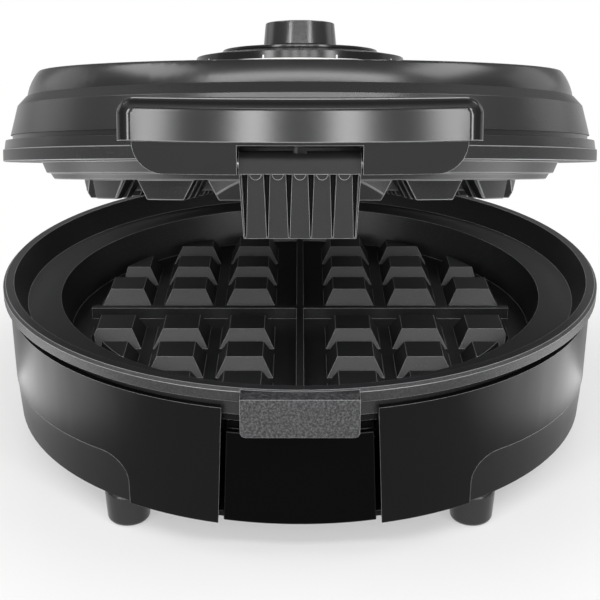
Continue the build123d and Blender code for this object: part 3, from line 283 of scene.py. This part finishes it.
# %% Castings
PLATE_CENTRE_Y = -0.01125
BAND_RADIUS = 0.1242
BAND_BACK_Y = 0.10
TAB_FACE_Y = -0.1360
TAB_TOP_Z = 0.0696
FLECK_SCALE = 1900.0
PEEL_SCALE = 900.0
STAIN_SCALE = 25.0
BAND_GRAIN_SCALE = 1200.0
BAND_DULLING = 0.75
COATING_BUMP = 2.2e-5
COATING_BUMP_STRENGTH = 0.6
COATING_GLOSS = 0.38
COATING_ROUGHNESS = 0.34
COATING_DARK = (0.008, 0.0082, 0.0088)
COATING_GREY = (0.013, 0.0133, 0.0140)
FLECK_GREY = (0.045, 0.046, 0.048)
FLECK_RANGE = (0.60, 0.72)
BAND_DARK = (0.007, 0.0072, 0.0076)
BAND_GLINT = (0.060, 0.061, 0.063)
GLINT_RANGE = (0.35, 0.72)
BAND_ROUGHER = 0.12
BAND_HIGHER = 1.5


def coated_casting(name, tab=False):
    """A non-stick coating, with a coarse outer band and catch tab where tab is true."""
    material, shader, place = start_finish(name)
    axes = place.tree.nodes.new("ShaderNodeSeparateXYZ")
    place.feed(axes.inputs[0], place)
    x, y, z = (Signal(place.tree, axes.outputs[index]) for index in range(3))
    flecks = noise(place, FLECK_SCALE, detail=1.0).between(*FLECK_RANGE)
    peel = noise(place, PEEL_SCALE, detail=2.0)
    cloud = noise(place, STAIN_SCALE, detail=3.0)
    grey = blend_colours(cloud, COATING_DARK, COATING_GREY)
    colour = blend_colours(flecks * 0.5, grey, FLECK_GREY)
    roughness = COATING_ROUGHNESS + cloud * 0.08 + flecks * 0.1
    height = peel
    if tab:
        from_axis = x.maths("SQRT", x * x + (y - PLATE_CENTRE_Y) * (y - PLATE_CENTRE_Y))
        on_band = (from_axis > BAND_RADIUS) * (y < BAND_BACK_Y)
        on_tab = on_band.maths("MAXIMUM", on_band, (y < TAB_FACE_Y) * (z < TAB_TOP_Z))
        grain = noise(place, BAND_GRAIN_SCALE, detail=2.0, roughness=0.7)
        dulled = 1.0 - on_band * (y > TAB_FACE_Y) * BAND_DULLING
        glint = grain.between(*GLINT_RANGE) * dulled
        charcoal = blend_colours(glint, BAND_DARK, BAND_GLINT)
        colour = blend_colours(on_tab, colour, charcoal)
        roughness = roughness + on_tab * BAND_ROUGHER
        height = peel + on_tab * grain * BAND_HIGHER
    normal = bumped(place, height, COATING_BUMP, COATING_BUMP_STRENGTH)
    varying = {"Base Color": colour, "Roughness": roughness, "Normal": normal}
    plain = {"Metallic": 0.0, "IOR": SURFACE_IOR, "Specular_IOR_Level": COATING_GLOSS}
    set_shader(shader, place, varying, **plain)
    return material


lower_coating = coated_casting("lower_coating", tab=True)
upper_coating = coated_casting("upper_coating")
# A pale colour that paints a highlight on the castings' rounded edges.
coating_painted_edge_highlight = moulded("coating_painted_edge_highlight", (0.13, 0.131, 0.134), roughness=0.32, grain=4e-6)
print("castings' finishes:", finishes_made[-3:])

# %% [markdown]
# ## Metals, rubber and ceramic
# Inside and underneath are plain working materials: drawn steel, the oxidised sheath of the
# heating elements, bright rolled aluminium, white steatite and rubber. They are seen from
# below or when a piece is taken off, so each gets its own colour and surface, too. Drawn
# steel and rolled sheet show fine lines, and rubber has a dull skin. The lines could be a
# picture, but a noise that is stretched along one axis makes them at any size.

# %% Working materials
METAL_CLOUD_SCALE = 60.0
SKIN_CLOUD_SCALE = 40.0
LINE_DEPTH = 8e-6
LINE_STRENGTH = 0.4
METAL_TINTS = (0.85, 1.08)
SKIN_TINTS = (0.88, 1.06)
EVEN = (1, 1, 1)


def worked_metal(name, colour, roughness, stretch, scale=900.0):
    """Bare metal. A small number in stretch draws the noise out to lines along that axis."""
    material, shader, place = start_finish(name)
    drawn = place.node("ShaderNodeMapping", {}, {"Vector": place, "Scale": stretch})
    lines = noise(drawn, scale, detail=2.0)
    cloud = noise(place, METAL_CLOUD_SCALE, detail=3.0)
    tinted = blend_colours(cloud, *(shade(colour, factor) for factor in METAL_TINTS))
    varying = {
        "Base Color": tinted,
        "Roughness": roughness - 0.06 + cloud * 0.06 + lines * 0.08,
        "Normal": bumped(place, lines, LINE_DEPTH, LINE_STRENGTH),
    }
    set_shader(shader, place, varying, Metallic=1.0)
    return material


def dull(name, colour, roughness, grain, scale=1200.0):
    """Rubber and ceramic, with a slightly uneven skin."""
    material, shader, place = start_finish(name)
    skin = noise(place, scale, detail=2.0)
    cloud = noise(place, SKIN_CLOUD_SCALE, detail=3.0)
    tinted = blend_colours(cloud, *(shade(colour, factor) for factor in SKIN_TINTS))
    normal = bumped(place, skin, grain)
    varying = {"Base Color": tinted, "Roughness": roughness - 0.05 + skin * 0.1, "Normal": normal}
    set_shader(shader, place, varying, IOR=SURFACE_IOR)
    return material


blackened = worked_metal("blackened_steel", (0.030, 0.029, 0.028), roughness=0.40, stretch=EVEN)
steel = worked_metal("steel", (0.55, 0.54, 0.53), roughness=0.28, stretch=(0.08, 1, 1))
heater_steel = worked_metal(
    "heater_steel", (0.20, 0.185, 0.17), roughness=0.45, stretch=EVEN, scale=300.0
)
bright_sheet = worked_metal("bright_sheet", (0.80, 0.80, 0.81), roughness=0.20, stretch=(0.03, 1, 1))
foot_rubber = dull("foot_rubber", (0.006, 0.006, 0.006), roughness=0.30, grain=4e-6)
ceramic = dull("ceramic", (0.70, 0.69, 0.66), roughness=0.40, grain=5e-6)
print("working materials:", finishes_made[-6:])

# %% [markdown]
# ## Rounded edges on the CAD pieces
# No moulded or cast edge is sharp: the tool is cut with a small radius, and that radius is
# what catches the light along every step of the lid. The solids have sharp corners, which
# would look like paper. A copy of the solid's mesh is merged, its flat triangles are
# dissolved into whole faces, and its sharp edges are bevelled. That keeps the shape and the
# place of the CAD and adds only the radius. A Bevel modifier could do the same, but the
# bevel operator gives back the new faces, so that they can take a paler finish of their own,
# which paints on them the thin highlight that the real edges catch.
# A weighted-normal modifier then keeps the large faces flat up to their rounded edges.
# The handle's front is a shallow bow on the real machine, so its two halves are cut into
# upright strips and their ends are drawn back by two or three millimetres.

# %% Bodies and slots of the CAD nodes
BODY_OF = {
    node: body
    for body, nodes in frame["record"]["behaviour"]["bodies"].items()
    for node in nodes
}
print("nodes:", len(BODY_OF))


# %% Add a piece
def even_shading(piece):
    """Smooth shading that leaves large faces flat right up to their rounded edges."""
    for face in piece.data.polygons:
        face.use_smooth = True
    evened = piece.modifiers.new("even shading", "WEIGHTED_NORMAL")
    evened.mode = "FACE_AREA"
    evened.keep_sharp = True


def add_piece(name, shape, materials, body):
    """Makes an object from a bmesh, with its finishes, and lets it ride on a CAD body."""
    mesh = bpy.data.meshes.new(name)
    shape.to_mesh(mesh)
    shape.free()
    for material in materials:
        mesh.materials.append(material)
    piece = bpy.data.objects.new(name, mesh)
    bpy.context.scene.collection.objects.link(piece)
    even_shading(piece)
    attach(piece, body)
    return piece


# %% Whole faces and rounded edges
MERGE_DISTANCE = 3e-6
FLAT_ANGLE = radians(0.5)
# The finish slot of the highlight that is painted on rounded edges.
EDGE_HIGHLIGHT_SLOT = 1


def whole_faces(node):
    """The merged copy of a CAD node's mesh, with its flat triangles joined up."""
    shape = bmesh.new()
    shape.from_mesh(frame["nodes"][node].data)
    bmesh.ops.remove_doubles(shape, verts=shape.verts, dist=MERGE_DISTANCE)
    edges = [edge for edge in shape.edges if edge.is_manifold]
    bmesh.ops.dissolve_limit(shape, angle_limit=FLAT_ANGLE, verts=shape.verts, edges=edges)
    return shape


def round_edges(shape, radius, segments, sharper_than):
    """Bevels the edges that turn by more than an angle in degrees, and paints a highlight on them."""
    corners = [
        edge for edge in shape.edges
        if edge.is_manifold and edge.calc_face_angle() > radians(sharper_than)
    ]
    rounded = bmesh.ops.bevel(
        shape, geom=corners, offset=radius, offset_type="OFFSET", segments=segments,
        profile=0.5, affect="EDGES", material=-1, clamp_overlap=True,
    )["faces"]
    for face in rounded:
        face.material_index = EDGE_HIGHLIGHT_SLOT
    return len(corners)


# %% A bowed front
def bowed(shape, half_width, front, depth, bow, strips=12):
    """Bends a front face into a shallow bow: its ends are drawn back by so many metres."""
    for strip in range(1, strips):
        cut_x = half_width * (2 * strip / strips - 1)
        everything = shape.verts[:] + shape.edges[:] + shape.faces[:]
        bmesh.ops.bisect_plane(
            shape, geom=everything, plane_co=(cut_x, 0, 0), plane_no=(1, 0, 0), dist=1e-6
        )
    for vertex in shape.verts:
        share = max(0.0, min(1.0, (front + depth - vertex.co.y) / depth))
        vertex.co.y += bow * share * (vertex.co.x / half_width) ** 2


# %% Soften a CAD piece
DARK_FINISH = 2


def softened(
    node, radius, material, edge=None, segments=3, bow=0.0, dark=None, shade_with=None,
    sharper_than=22.0,
):
    """A piece that stands for a CAD node: its shape with rounded edges and its finishes."""
    shape = whole_faces(node)
    if bow:
        low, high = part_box(node)
        bowed(shape, high[0], low[1], (high[1] - low[1]) / 2, bow)
    for face in shape.faces:
        if dark and dark(face):
            face.material_index = DARK_FINISH
    count = round_edges(shape, radius, segments, sharper_than)
    # The second finish paints a highlight on the rounded edges, the third paints shade on the dark
    # faces.
    finishes = (material, edge or material, shade_with or material)
    piece = add_piece(node + "_finished", shape, finishes, BODY_OF[node])
    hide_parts(node)
    print(node, "edges rounded:", count, "faces:", len(piece.data.polygons))
    return piece


# %% [markdown]
# ## The lid's own frame
# The lid stands open in the stored pose, so its dial, its handle and its latch are all
# tilted. Marks and masks are easier to lay out on the shut lid, where the dial is level and
# the handle's face is upright, and are then turned with the lid about its hinge. The hinge's
# place and the angle come from the record, so that they follow the CAD model.

# %% The lid's turn
joints = {joint["name"]: joint for joint in frame["record"]["behaviour"]["joints"]}
hinge = Vector(joints["lid_hinge"]["pos_m"])
lid_open = radians(-joints["lid_hinge"]["range_deg"][0])
lid_place = (
    Matrix.Translation(hinge) @ Matrix.Rotation(-lid_open, 4, "X") @ Matrix.Translation(-hinge)
)
plate_axis = Vector((0, PLATE_CENTRE_Y, 0))


def on_shut_lid(node):
    """The corners of a lid piece as they lie on the shut lid, in metres."""
    back = lid_place.inverted()
    return [back @ vertex.co for vertex in frame["nodes"][node].data.vertices]


def round_size(node):
    """A round lid piece's radius and highest point on the shut lid, in metres."""
    points = on_shut_lid(node)
    radius = max((point - plate_axis).xy.length for point in points)
    return radius, max(point.z for point in points)


print("the lid stands open by", round(degrees(lid_open), 1), "degrees")

# %% [markdown]
# ## Faces that stay dark
# Round the handle's front face runs a thin dark line, and the slots between the latch's ribs
# are darker than the ribs. On the real machine both are surely shade in a tight corner. In
# this studio's light the corners come out paler than that, so their faces get a darker
# finish. They could be chosen by hand in edit mode. Here a test on each face's direction
# and depth finds them, and goes on finding them when a CAD size changes a little.

# %% Faces that stay dark
FACE_OUT = lid_place.to_3x3() @ Vector((0, -1, 0))
ROUND_START = radians(12)
ROUND_END = radians(46)
SLOT_REACH = 0.0185
SLOT_TOP = hinge.z + 0.008
WALL_DEPTHS = (0.004, 0.008)
FLOOR_DEPTHS = (0.007, 0.009)
SIDEWAYS = 0.7
FACING_OUT = 0.9
latch_front = min(point.y for point in on_shut_lid("latch"))


def beside_handle_face(face):
    """The first strip of the round that runs about the handle's face."""
    return ROUND_START < face.normal.angle(FACE_OUT) < ROUND_END


def in_latch_slot(face):
    """The walls and floors of the slots between the latch's ribs."""
    middle = lid_place.inverted() @ face.calc_center_median()
    if abs(middle.x) > SLOT_REACH or middle.z > SLOT_TOP:
        return False
    depth = middle.y - latch_front
    wall = abs(face.normal.x) > SIDEWAYS and WALL_DEPTHS[0] < depth < WALL_DEPTHS[1]
    outward = face.normal.dot(FACE_OUT) > FACING_OUT
    return wall or (outward and FLOOR_DEPTHS[0] < depth < FLOOR_DEPTHS[1])


print("latch front in mm:", round(1000 * latch_front, 2))

# %% [markdown]
# ## Finishing the housings, the plates and the feet
# Each large piece is softened with its own radius and finish. A moulding's edges have about
# half a millimetre, a coated casting's a little more, and a rubber foot's nearly three. One
# large radius for all would be simpler, but the bevel is clamped where two would overlap, so
# a narrow step of the lid would hold back the rounding of a whole piece.

# %% Finish the housings
FINE_ROUND = 0.0003
HOUSING_ROUND = 0.0004
DOME_ROUND = 0.0005
LID_ROUND = 0.0006
HANDLE_BOW = 0.003
HULL_BOW = 0.002

softened("upper_shell", HOUSING_ROUND, shell_black, painted_edge_highlight)
# Its rounded edges take the paler cover finish as a painted highlight.
softened("front_panel", HOUSING_ROUND, panel_black, cover_black)
softened("bottom_cover", HOUSING_ROUND, cover_black, painted_edge_highlight)
softened("lid_housing", LID_ROUND, lid_black)
softened("top_cover", DOME_ROUND, dome_black, painted_edge_highlight)
softened(
    "handle_top", HOUSING_ROUND, handle_black, painted_edge_highlight, bow=HANDLE_BOW,
    dark=beside_handle_face, shade_with=cover_black, sharper_than=60.0,
)
softened("handle_bottom", HOUSING_ROUND, hull_black, painted_bright_edge_highlight, bow=HULL_BOW)
softened(
    "latch", FINE_ROUND, latch_charcoal, painted_bright_edge_highlight, dark=in_latch_slot, shade_with=panel_black
)
softened("dial_ring", FINE_ROUND, dial_black)
softened("dial_bezel", FINE_ROUND, dial_black)
softened("control_knob", LID_ROUND, knob_black)

# %% Finish the plates
LOWER_ROUND = 0.0007
UPPER_ROUND = 0.0006

softened("lower_grid_plate", LOWER_ROUND, lower_coating, coating_painted_edge_highlight)
softened("upper_grid_plate", UPPER_ROUND, upper_coating, coating_painted_edge_highlight)

# %% Finish the feet
FOOT_ROUND = 0.0028

for corner in ("front_right", "front_left", "rear_right", "rear_left"):
    softened("foot_" + corner, FOOT_ROUND, foot_rubber, segments=6)

# %% [markdown]
# ## The scale on the dial
# The dial's upright edge carries eight printed ticks. They stand on a pale line that is a
# painted highlight, the thin bright line of light along the dial's edge. Both are about a
# tenth of a millimetre thick. They could be a mask in the material, but a thin mesh keeps
# its crisp edge at any distance. One tick starts as a small upright plane in front of the
# dial, and a turn about the dial's axis puts each of the eight in its place.

# %% The dial's size
dial_radius, dial_top = round_size("dial_ring")
bezel_radius = round_size("dial_bezel")[0]
knob_top = round_size("control_knob")[1]
print("dial radius and height in mm:", round(1000 * dial_radius, 1), round(1000 * dial_top, 1))

# %% Ticks
PRINT_DEPTH = 0.00006
TICK_DEPTH = PRINT_DEPTH * 1.5
TICK_COUNT = 8
SCALE_SWEEP = radians(270)
TICK_WIDTH = 0.0007
TICK_HEIGHT = 0.0020
HIGHLIGHT_BAND_Z = 0.1109
dial_axis = lid_place @ Matrix.Translation(plate_axis)
# White for the printed ticks and pointer, and for the highlight painted round the dial.
print_and_highlight_white = moulded("print_and_highlight_white", (0.62, 0.62, 0.61), roughness=0.5, grain=1e-6)


def scale_angle(step):
    """The angle of a step of the scale from the front of the dial."""
    return SCALE_SWEEP * (step / (TICK_COUNT - 1) - 0.5)


marks = bmesh.new()
for step in range(TICK_COUNT):
    bar = bmesh.ops.create_grid(marks, x_segments=1, y_segments=3, size=0.5)["verts"]
    bmesh.ops.scale(marks, vec=(TICK_WIDTH, TICK_HEIGHT, 1), verts=bar)
    upright = Matrix.Rotation(pi / 2, 4, "X")
    out = Matrix.Translation((0, -dial_radius - PRINT_DEPTH, HIGHLIGHT_BAND_Z + TICK_HEIGHT / 2))
    turn = Matrix.Rotation(scale_angle(step), 4, "Z")
    bmesh.ops.transform(marks, matrix=dial_axis @ turn @ out @ upright, verts=bar)
bmesh.ops.recalc_face_normals(marks, faces=marks.faces)
bmesh.ops.solidify(marks, geom=marks.faces[:], thickness=TICK_DEPTH)
bmesh.ops.recalc_face_normals(marks, faces=marks.faces)
add_piece("dial_ticks", marks, [print_and_highlight_white], BODY_OF["dial_ring"])
print("dial ticks:", TICK_COUNT)

# %% [markdown]
# ## The numbers on the dial
# The numbers 1 to 7 lie on the dial's sloping face, each between two ticks. On a real dial
# they may be raised a little from the moulding or printed. Here each is a text object,
# because Blender's own font gives clean figures. It is turned into a mesh, laid on the slope
# and turned round the dial's axis to its place. The numbers are dark grey on a dark dial, so
# they take the latch's charcoal.

# %% Numbers
NUMBER_HEIGHT = 0.0042
CONE_RISE = 0.0020
cone_slope = CONE_RISE / (dial_radius - bezel_radius)


def printed_number(shape, text, angle):
    """Adds a number to a bmesh, flat on the dial's cone at an angle from its front."""
    letter = bpy.data.curves.new("number", "FONT")
    letter.body = text
    letter.size = NUMBER_HEIGHT
    letter.align_x = "CENTER"
    letter.align_y = "CENTER"
    letter.extrude = PRINT_DEPTH / 2
    written = bpy.data.objects.new("number", letter)
    bpy.context.scene.collection.objects.link(written)
    bpy.context.view_layer.update()
    flat = bpy.data.meshes.new_from_object(written)
    before = len(shape.verts)
    shape.from_mesh(flat)
    shape.verts.ensure_lookup_table()
    middle = (dial_radius + bezel_radius) / 2
    lift = dial_top - CONE_RISE / 2 + PRINT_DEPTH
    out = Matrix.Translation((0, -middle, lift)) @ Matrix.Rotation(cone_slope, 4, "X")
    turn = Matrix.Rotation(angle, 4, "Z")
    bmesh.ops.transform(shape, matrix=dial_axis @ turn @ out, verts=shape.verts[before:])
    bpy.data.objects.remove(written)


numbers = bmesh.new()
for step in range(TICK_COUNT - 1):
    printed_number(numbers, str(step + 1), scale_angle(step + 0.5))
add_piece("dial_numbers", numbers, [latch_charcoal], BODY_OF["dial_ring"])
print("numbers on the dial:", TICK_COUNT - 1)

# %% [markdown]
# ## The painted highlight round the dial
# The pale line that the ticks stand on is a painted highlight, and it runs right round the
# dial. It could be a ring from a full spin of a small rectangle. A circle whose edge is
# pulled up into a band, and then given a wall, needs fewer steps and has the same form.

# %% Painted highlight round the dial
HIGHLIGHT_BAND_HEIGHT = 0.0007
HIGHLIGHT_BAND_DEPTH = 0.00015


def corners_of(pulled):
    """The corners among what an extrude has made."""
    return [item for item in pulled if isinstance(item, bmesh.types.BMVert)]


# A pale band that paints the highlight along the dial's edge.
highlight_band = bmesh.new()
bmesh.ops.create_circle(highlight_band, segments=128, radius=dial_radius)
top = corners_of(bmesh.ops.extrude_edge_only(highlight_band, edges=highlight_band.edges[:])["geom"])
bmesh.ops.translate(highlight_band, vec=(0, 0, HIGHLIGHT_BAND_HEIGHT), verts=top)
bmesh.ops.recalc_face_normals(highlight_band, faces=highlight_band.faces)
bmesh.ops.solidify(highlight_band, geom=highlight_band.faces[:], thickness=-HIGHLIGHT_BAND_DEPTH)
bmesh.ops.recalc_face_normals(highlight_band, faces=highlight_band.faces)
raised = Matrix.Translation((0, 0, HIGHLIGHT_BAND_Z))
bmesh.ops.transform(highlight_band, matrix=dial_axis @ raised, verts=highlight_band.verts)
add_piece("dial_highlight_band", highlight_band, [print_and_highlight_white], BODY_OF["dial_ring"])
print("line's height above the table on the shut lid in mm:", round(1000 * HIGHLIGHT_BAND_Z, 1))

# %% [markdown]
# ## Paint in the knob's pointer
# The knob has a shallow groove that points to the scale, and its floor is painted white. The
# groove is in the CAD solid. Its floor could take another finish, but a thin block of paint
# on it is simpler than finding that one face, and it rides on the knob as the groove does.

# %% The pointer
POINTER_DEPTH = 0.0008
POINTER_WIDTH = 0.0015
POINTER_LENGTH = 0.0071
POINTER_MIDDLE = -0.0072
POINTER_GAP = 0.00002
pointer = bmesh.new()
bmesh.ops.create_grid(pointer, x_segments=1, y_segments=2, size=0.5)
bmesh.ops.scale(pointer, vec=(POINTER_WIDTH, POINTER_LENGTH, 1), verts=pointer.verts)
lifted = corners_of(bmesh.ops.extrude_face_region(pointer, geom=pointer.faces[:])["geom"])
bmesh.ops.translate(pointer, vec=(0, 0, PRINT_DEPTH), verts=lifted)
bmesh.ops.recalc_face_normals(pointer, faces=pointer.faces)
groove_floor = knob_top - POINTER_DEPTH + POINTER_GAP
seat = Matrix.Translation(plate_axis + Vector((0, POINTER_MIDDLE, groove_floor)))
bmesh.ops.transform(pointer, matrix=lid_place @ seat, verts=pointer.verts)
add_piece("knob_pointer", pointer, [print_and_highlight_white], BODY_OF["control_knob"])
print("pointer's length in mm:", round(1000 * POINTER_LENGTH, 1))

# %% [markdown]
# ## Screws under the base
# The bottom cover is held by five screws from below: one in front, one at each side and two
# at the back, below the hinge. They can't be seen from the front, but they are the first
# thing that shows when the machine is turned over. A head starts from a small grid whose
# outer corners are pulled onto a circle. The cross recess is then pushed in from the grid's
# inner faces, which is how a punch makes the real one.

# %% Screws
SCREW_RADIUS = 0.0031
SCREW_HEAD = 0.0012
RECESS_DEPTH = 0.0008
ARM_HALF_WIDTH = SCREW_RADIUS * 0.25
ARM_REACH = SCREW_RADIUS * 0.65
GRID_RIM = SCREW_RADIUS * 0.9
HEAD_STANDS_OUT = SCREW_HEAD * 0.4
SCREW_PLACES = [(0.0, -0.098), (-0.082, 0.040), (0.082, 0.040), (-0.033, 0.120), (0.033, 0.120)]
cover_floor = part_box("bottom_cover")[0][2]


def on_cross(face):
    """Whether a face of the head's grid lies on the cross recess."""
    across, along = sorted(abs(value) for value in face.calc_center_median().xy)
    return along < ARM_REACH and across < ARM_HALF_WIDTH


def screw_head(shape, place):
    """A pan head with a cross recess, its face down, at a place on the bottom cover."""
    verts = bmesh.ops.create_grid(shape, x_segments=5, y_segments=5, size=SCREW_RADIUS)["verts"]
    for vertex in verts:
        if max(abs(vertex.co.x), abs(vertex.co.y)) > GRID_RIM:
            vertex.co = vertex.co.normalized() * SCREW_RADIUS
    faces = [face for face in shape.faces if all(corner in verts for corner in face.verts)]
    cross = [face for face in faces if on_cross(face)]
    inner = corners_of(bmesh.ops.extrude_face_region(shape, geom=cross)["geom"])
    bmesh.ops.translate(shape, vec=(0, 0, -RECESS_DEPTH), verts=inner)
    bmesh.ops.delete(shape, geom=cross, context="FACES_ONLY")
    rim = [edge for edge in shape.edges if edge.is_boundary and all(v in verts for v in edge.verts)]
    foot = corners_of(bmesh.ops.extrude_edge_only(shape, edges=rim)["geom"])
    bmesh.ops.translate(shape, vec=(0, 0, -SCREW_HEAD), verts=foot)
    flip = Matrix.Translation(place) @ Matrix.Rotation(pi, 4, "X")
    whole = list({vertex for vertex in verts + inner + foot if vertex.is_valid})
    bmesh.ops.transform(shape, matrix=flip, verts=whole)


screws = bmesh.new()
for x, y in SCREW_PLACES:
    screw_head(screws, (x, y, cover_floor - HEAD_STANDS_OUT))
bmesh.ops.recalc_face_normals(screws, faces=screws.faces)
add_piece("cover_screws", screws, [blackened], BODY_OF["bottom_cover"])
print("screws:", len(SCREW_PLACES))

# %% [markdown]
# ## The working parts inside
# Heaters, straps, thermostat, fuse and pins are turned, bent and pressed parts whose edges
# hardly show in a picture of the machine. They could be softened as the housings are, but
# their CAD meshes are good enough, so each only takes the finish of its material.

# %% Finish the inner nodes
INNER_FINISHES = {
    "hinge_pin": steel,
    "cord_bush": foot_rubber,
    "lower_heater": heater_steel,
    "lower_heater_clamps": bright_sheet,
    "lower_reflector": bright_sheet,
    "terminal_block": ceramic,
    "thermal_fuse": ceramic,
    "thermostat_shaft": steel,
    "thermostat": ceramic,
    "thermostat_strap": bright_sheet,
    "upper_heater": heater_steel,
    "upper_heater_clamps": bright_sheet,
    "latch_pin": steel,
    "latch_spring": blackened,
}
for node, material in INNER_FINISHES.items():
    mesh = frame["nodes"][node].data
    mesh.materials.clear()
    mesh.materials.append(material)
print("inner nodes finished:", len(INNER_FINISHES))

# %% [markdown]
# ## The studio's floor
# A product like this is photographed on a sheet of white paper. Plain paper comes out grey
# where little light falls, and a floor that shines loses the soft shadow under the housing.
# So the paper is mixed with plain white: about four tenths near the machine, and wholly at
# a distance from it. Only the camera and glossy rays see that white, so it shows in the
# machine's reflections but lights nothing.

# %% A level sheet
def plane(name, width, depth, z, material):
    """A level piece of the studio, which isn't part of the machine."""
    shape = bmesh.new()
    bmesh.ops.create_grid(shape, x_segments=1, y_segments=1, size=0.5)
    bmesh.ops.scale(shape, vec=(width, depth, 1), verts=shape.verts)
    bmesh.ops.translate(shape, vec=(0, 0, z), verts=shape.verts)
    mesh = bpy.data.meshes.new(name)
    shape.to_mesh(mesh)
    shape.free()
    mesh.materials.append(material)
    made = bpy.data.objects.new(name, mesh)
    bpy.context.scene.collection.objects.link(made)
    made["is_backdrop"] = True
    return made


# %% White paper
PAPER = (0.55, 0.55, 0.55, 1)
PAPER_ROUGHNESS = 0.6
WHITE_FROM = 0.135
WHITE_TO = 0.24
GLOSS_WHITE = 0.6


def studio_white(name, glow):
    """White paper with a share of plain white near the machine and only white far from it."""
    material = bpy.data.materials.new(name)
    material.use_nodes = True
    tree = material.node_tree
    paper = tree.nodes["Principled BSDF"]
    paper.inputs["Base Color"].default_value = PAPER
    paper.inputs["Roughness"].default_value = PAPER_ROUGHNESS
    path = tree.nodes.new("ShaderNodeLightPath")
    by_camera = Signal(tree, path.outputs["Is Camera Ray"])
    in_gloss = Signal(tree, path.outputs["Is Glossy Ray"])
    place = Signal(tree, tree.nodes.new("ShaderNodeTexCoord").outputs["Object"])
    reach = place.node("ShaderNodeVectorMath", {"operation": "LENGTH"}, {0: place}, output=1)
    far = reach.between(WHITE_FROM, WHITE_TO)
    factor = by_camera * (glow + far * (1.0 - glow)) + in_gloss * GLOSS_WHITE
    white = place.node("ShaderNodeEmission", {}, {"Color": (1, 1, 1, 1), "Strength": 1.0})
    paper_out = Signal(tree, paper.outputs[0])
    both = place.node("ShaderNodeMixShader", {}, {0: factor, 1: paper_out, 2: white})
    tree.links.new(both.socket, tree.nodes["Material Output"].inputs["Surface"])
    return material


# %% Floor
FLOOR_SIZE = 12.0
FLOOR_GLOW = 0.42

plane("floor", FLOOR_SIZE, FLOOR_SIZE, 0.0, studio_white("floor_white", FLOOR_GLOW))
print("floor turns white between", WHITE_FROM, "and", WHITE_TO, "m from the origin")

# %% [markdown]
# ## The room behind
# The background of the picture is plain white, but a room as bright as that would wash out
# the black plastic. A large white wall behind the machine is one way out. The Light Path
# node is simpler, because it tells which ray is asking: the camera's own rays see the world
# at full strength, and those that light the machine get three tenths of it.

# %% World
ROOM_LIGHT = 0.30
world = bpy.data.worlds.new("studio")
bpy.context.scene.world = world
world.use_nodes = True
world_tree = world.node_tree
path = world_tree.nodes.new("ShaderNodeLightPath")
seen = Signal(world_tree, path.outputs["Is Camera Ray"])
seen = seen + Signal(world_tree, path.outputs["Is Transmission Ray"])
level = ROOM_LIGHT + seen * (1.0 - ROOM_LIGHT)
world_tree.nodes["Background"].inputs["Color"].default_value = (1, 1, 1, 1)
world_tree.links.new(level.socket, world_tree.nodes["Background"].inputs["Strength"])
print("room light:", ROOM_LIGHT)

# %% [markdown]
# ## The lamps
# On black plastic light shows only as reflections, so the size and place of each lamp draw
# the object. One or two large soft boxes would be the usual start, but they cover the
# handle's flat face with one even sheen, and in the picture that face has upright bright
# bands. So a wide lamp hangs high in front and a smaller one high behind, two pairs of
# narrow upright strips and one wider pair stand in front and draw the bands, a high and a
# low pair at the sides light the rims and the shell, and two faint lamps beside the base
# stand for the light that a bright table throws up.

# %% Lamps
MIDDLE = (0.0, 0.0, 0.1)
HANDLE = (0.0, -0.1, 0.1)
LID_FRONT = (0.0, -0.05, 0.1)
TABLE_LAMP = (0.27, -0.075, 0.004)


def soft_box(name, place, target, width, height, power):
    """A rectangular lamp that faces a point: sizes in metres, power in watts."""
    lamp = bpy.data.lights.new(name, "AREA")
    lamp.shape = "RECTANGLE"
    lamp.size = width
    lamp.size_y = height
    lamp.energy = power
    made = bpy.data.objects.new(name, lamp)
    made.location = place
    facing = Vector(target) - Vector(place)
    made.rotation_euler = facing.to_track_quat("-Z", "Y").to_euler()
    bpy.context.scene.collection.objects.link(made)
    return made


soft_box("high front", (0.0, -0.95, 1.26), LID_FRONT, width=2.0, height=0.27, power=17.0)
soft_box("high back", (0.0, 0.90, 1.00), MIDDLE, width=0.9, height=0.25, power=4.0)
for side in (-1, 1):
    soft_box("near strip", (side * 0.115, -1.25, 0.46), HANDLE, width=0.075, height=0.75, power=2.6)
    soft_box("outer strip", (side * 0.36, -1.22, 0.46), HANDLE, width=0.09, height=0.75, power=2.4)
    soft_box("front", (side * 0.74, -1.05, 0.50), HANDLE, width=0.22, height=0.80, power=6.0)
    soft_box("high side", (side * 1.05, -0.05, 1.15), MIDDLE, width=0.9, height=0.45, power=6.5)
    soft_box("low side", (side * 1.10, 0.60, 0.42), MIDDLE, width=0.7, height=0.5, power=0.9)
    on_table = (side * TABLE_LAMP[0], TABLE_LAMP[1], TABLE_LAMP[2])
    straight_up = (on_table[0], on_table[1], 1.0)
    soft_box("table glow", on_table, straight_up, width=0.24, height=0.16, power=0.42)
print("lamps:", len(bpy.data.lights))

# %% [markdown]
# ## Colours as they are
# Blender's default view transform softens bright tones as a film does, which greys a white
# background. The Standard transform keeps white white, and leaves the other tones as the
# finishes and the lamps make them.

# %% View
scene = bpy.context.scene
scene.view_settings.view_transform = "Standard"
print("view transform:", scene.view_settings.view_transform)

# %% [markdown]
# ## Sizes
# The finished looks should keep the machine within its CAD model's size, so both boxes' sizes are
# printed in millimetres.

# %% Sizes of the two boxes
dressed_box = [list(corner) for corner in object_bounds()]
for name, box in (("cad", cad_box), ("dressed", dressed_box)):
    print(name, [round(1000 * (high - low), 2) for low, high in zip(*box)])
